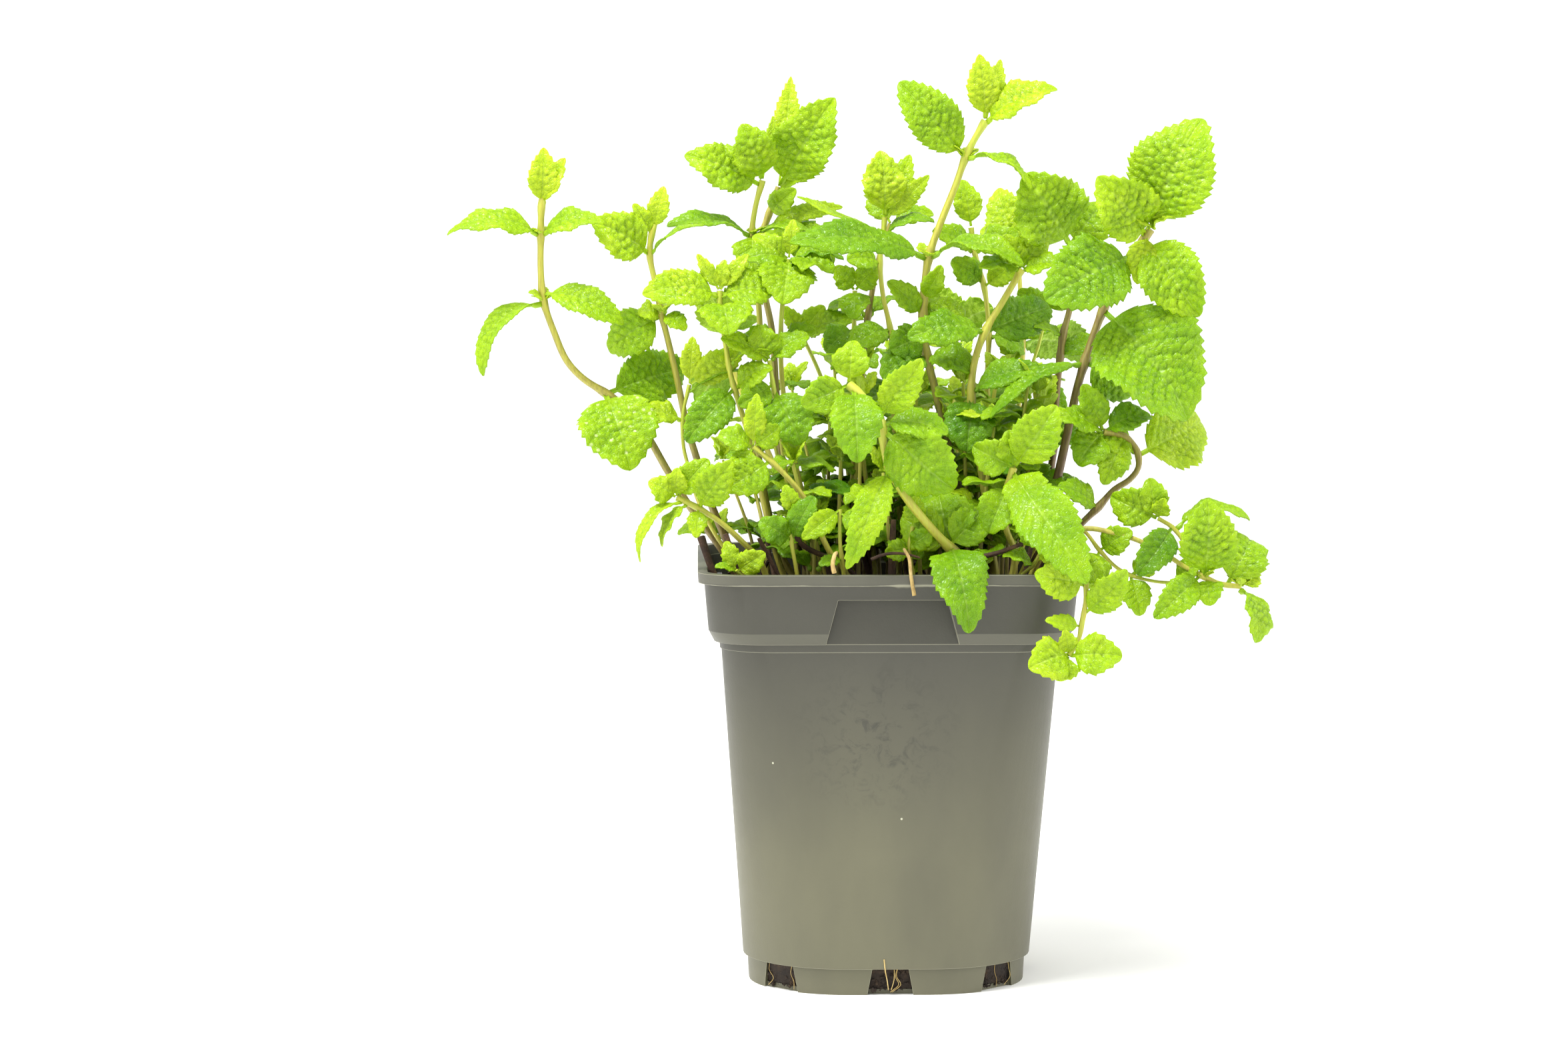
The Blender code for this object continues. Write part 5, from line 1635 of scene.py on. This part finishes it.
scraps = {
    # name: (radius in mm, material, route in mm on the elevation)
    "dead_stem_left": (0.9, deadStem, [
        (-28, -30, 132), (-24, -28, 124), (-12, -24, 118), (-6, -22, 112)]),
    "cut_stub_centre": (1.2, deadStem, [(2, -30, 108), (2, -30, 120), (2.4, -30, 131)]),
    "rim_straw": (0.6, dryFibre, [
        (8.5, -55.6, 109), (7.6, -55.3, 114), (7.0, -54.9, 119.5), (5.5, -50, 122.5)]),
    "twig_centre": (0.5, deadStem, [(-4, -46, 119.5), (0, -46.5, 121), (5, -47, 121.2), (10, -46, 120)]),
    "twig_right": (0.75, deadStem, [(27, -44, 120), (33, -45, 121.5), (37, -46, 123), (41, -46, 124.5)]),
    "cut_stem_left": (1.3, deadStem, [(-53, -30, 126), (-50, -34, 117), (-46, -33, 108)]),
    "brown_stem_left": (0.8, deadStem, [(-46, -38, 127), (-43, -38, 118), (-40, -36, 108)]),
    "dry_twist_on_lip": (0.7, dryFibre, [
        (-14.6, -54.9, 115.6), (-15.1, -55.0, 118), (-14.6, -54.0, 120.6), (-14, -50, 121.5)]),
}
rootThreads = {
    # name: (radius in mm, route in mm as it lies)
    "root_thread_centre": (0.2, [
        (-1.9, -41.5, 10.5), (-1.5, -41.2, 7), (-0.9, -40.4, 4), (-0.6, -40.1, 1.6)]),
    "root_thread_side": (0.14, [(1.1, -39.3, 7.2), (1.0, -39.9, 4.5), (0.2, -40.1, 1.6)]),
}
scrapShape = {"spacing": 1.2, "taper": 0.35, "section": (1.0, 0.9), "wood": (1.0, 1.0)}  # spacing in mm


def layScrap(name, points, radius, material):
    path = smoothPath(points, scrapShape["spacing"] * mm)
    line = [(p, radius * mm * (1 - scrapShape["taper"] * k / len(path))) for k, p in enumerate(path)]
    makeStalks(name, [line], scrapShape["wood"], material, "potting_mix", scrapShape["section"])


# dead brown stems left standing among the live ones, in mm
litter = {
    "seed": 12, "count": 34, "reach": 40, "depth": 3, "height": (8, 30), "lean": 9, "bend": 2,
    "radius": (0.35, 0.85), "section": (1.0, 0.85),
}


def makeLitter():
    rng = np.random.default_rng(litter["seed"])
    lines = []
    for _ in range(litter["count"]):
        x, y = rng.uniform(-litter["reach"], litter["reach"], 2)
        foot = Vector((x, y, mix["top"] / mm - litter["depth"]))
        lean = Vector((*rng.uniform(-litter["lean"], litter["lean"], 2), rng.uniform(*litter["height"])))
        bend = foot + lean * 0.5 + Vector((*rng.uniform(-litter["bend"], litter["bend"], 2), 0))
        path = smoothPath([p * mm for p in (foot, bend, foot + lean)], scrapShape["spacing"] * mm)
        radius = rng.uniform(*litter["radius"]) * mm
        lines.append([(p, radius) for p in path])
    makeStalks("dead_stems", lines, scrapShape["wood"], deadStem, "potting_mix", litter["section"])


notchFill = {
    "seed": 5, "hairs": 2, "hairRadius": 0.09, "hairStart": 1.5, "hairSway": 0.8, "hairDrop": 2.2,  # mm
    "hairSpacing": 0.5, "hairSection": (1.0, 0.8),
    "crumbsPerCm2": 90, "crumbSeed": 2, "crumbRadius": (0.2, 0.75),  # mm
    "bed": 0.0013,  # m, its height
    "bedDepth": 1.3, "slopeFoot": 0.4, "slopeTop": 1.0,  # mm behind the notch's edge
}


def notchBed(near, half, low, high):
    # the floor strip and the sloping back of one notch, in mm
    far, foot, head = [near + notchFill[key] for key in ("bedDepth", "slopeFoot", "slopeTop")]
    return (
        ((near, -half, low), (far, -half, low), (far, half, low), (near, half, low)),
        ((foot, -half, low), (foot, half, low), (head, half, high), (head, -half, high)))


def makeNotchFill():
    # crumbs lie in each notch, and root hairs hang over the mix behind it
    rng = np.random.default_rng(notchFill["seed"])
    shape = bmesh.new()
    lines = []
    half, low, high = pot["notchTop"] / mm, notchFill["bed"] / mm, pot["notchRoof"] / mm
    for notch in range(8):
        near = (pot["notchCorner"] if notch % 2 else pot["notchSide"] + pot["gap"]) / mm
        turn = Matrix.Rotation(notch * pi / 4, 3, "Z")
        for corners in notchBed(near, half, low, high):
            shape.faces.new([shape.verts.new(turn @ Vector(corner) * mm) for corner in corners])
        for _ in range(notchFill["hairs"]):
            y = rng.uniform(-half, half)
            sway, drop = notchFill["hairSway"], notchFill["hairDrop"]
            route = [
                Vector((near + notchFill["hairStart"], y + k * rng.uniform(-sway, sway), high - k * drop))
                for k in range(4)]
            path = smoothPath([turn @ p * mm for p in route], notchFill["hairSpacing"] * mm)
            lines.append([(p, notchFill["hairRadius"] * mm) for p in path])
    low, high = notchFill["crumbRadius"]
    crumbs = growOn(workingObject("notch_crumbs", meshFrom(shape, "notch_bed")), crumbling, {
        "Density": notchFill["crumbsPerCm2"] * 1e4, "Smallest": low * mm, "Largest": high * mm,
        "Seed": notchFill["crumbSeed"], "Material": peat}, "notch_crumbs")
    newPiece("notch_crumbs", crumbs, "potting_mix")
    makeStalks("root_hairs", lines, scrapShape["wood"], dryFibre, "potting_mix", notchFill["hairSection"])


for name, (radius, material, route) in scraps.items():
    layScrap(name, [place(*p) for p in route], radius, material)
for name, (radius, route) in rootThreads.items():
    layScrap(name, [Vector(p) * mm for p in route], radius, dryFibre)
makeLitter()
makeNotchFill()
print("scraps made")

studio = {
    "background": "#ffffff",
    "backgroundStrength": 1.0,
    "floorColour": "#f6f6f3",
    "floorReach": 3.0,  # m
    "sweepStart": 1.2,  # m behind the pot
    "sweepRadius": 1.2,  # m
    "sweepSteps": 24,
    "paperGrain": 900.0,  # grains to a metre, coarser than real paper so that they show
    "grainDepth": 0.1,  # mm
    # name: (place, what it points at, width, watts)
    "lights": {
        "top_softbox": ((-0.30, -0.35, 1.20), (0.0, 0.0, 0.12), 0.42, 20.0),
        "left_softbox": ((-1.2, -0.5, 0.6), (0.0, 0.0, 0.12), 0.8, 7.0),
        "right_softbox": ((1.2, -0.2, 0.5), (0.0, 0.0, 0.12), 0.8, 9.0),
    },
}


def makeLights():
    world = bpy.data.worlds.new("white_room")
    bpy.context.scene.world = world
    world.use_nodes = True
    background = world.node_tree.nodes["Background"]
    background.inputs["Color"].default_value = linear(studio["background"])
    background.inputs["Strength"].default_value = studio["backgroundStrength"]
    for name, (where, target, width, watts) in studio["lights"].items():
        lamp = bpy.data.lights.new(name, "AREA")
        lamp.shape = "SQUARE"
        lamp.size = width
        lamp.energy = watts
        made = workingObject(name, lamp)
        made.location = where
        made.rotation_euler = (Vector(target) - Vector(where)).to_track_quat("-Z", "Y").to_euler()


def makeFloor():
    # a floor that sweeps up behind into a backdrop
    reach, radius, begin = studio["floorReach"], studio["sweepRadius"], studio["sweepStart"]
    profile = [(-reach, 0.0)]
    for step in range(studio["sweepSteps"] + 1):
        angle = step / studio["sweepSteps"] * pi / 2
        profile.append((begin + radius * sin(angle), radius * (1 - cos(angle))))
    profile.append((begin + radius, reach))
    shape = bmesh.new()
    rows = [[shape.verts.new((x, y, z)) for x in (-2 * reach, 2 * reach)] for y, z in profile]
    for (a, b), (c, d) in zip(rows, rows[1:]):
        shape.faces.new((a, b, d, c))
    mesh = meshFrom(shape, "studio_floor")
    mesh.shade_smooth()
    # Uncoated paper: white and matt, with a faint grain.
    paper, tree = newMaterial("white_seamless_paper")
    where = addNode(tree, "ShaderNodeTexCoord").outputs["Object"]
    grain = addNode(tree, "ShaderNodeTexNoise", {"Vector": where, "Scale": studio["paperGrain"]})
    bump = addNode(tree, "ShaderNodeBump", {
        "Height": grain.outputs["Fac"], "Strength": 0.1, "Distance": studio["grainDepth"] * mm})
    shader = addNode(tree, "ShaderNodeBsdfPrincipled", {
        "Base Color": linear(studio["floorColour"]), "Roughness": 0.9, "Normal": bump.outputs[0]})
    addNode(tree, "ShaderNodeOutputMaterial", {"Surface": shader.outputs[0]})
    mesh.materials.append(paper)
    workingObject("studio_floor", mesh)


camera = {
    "pitch": 0.0825, "pan": 0.0203,  # radians
    "lens": 96.0, "sensor": 36.0,  # mm
    "clip": (0.01, 20),  # m
}


def makeCamera():
    lens = bpy.data.cameras.new("camera")
    lens.lens = camera["lens"]
    lens.sensor_width = camera["sensor"]
    lens.clip_start, lens.clip_end = camera["clip"]
    made = workingObject("camera", lens)
    made.location = eye
    made.rotation_euler = (pi / 2 - camera["pitch"], 0.0, -camera["pan"])
    bpy.context.scene.camera = made


makeLights()
makeFloor()
makeCamera()
bpy.context.scene.view_settings.view_transform = "Standard"
print("studio made")
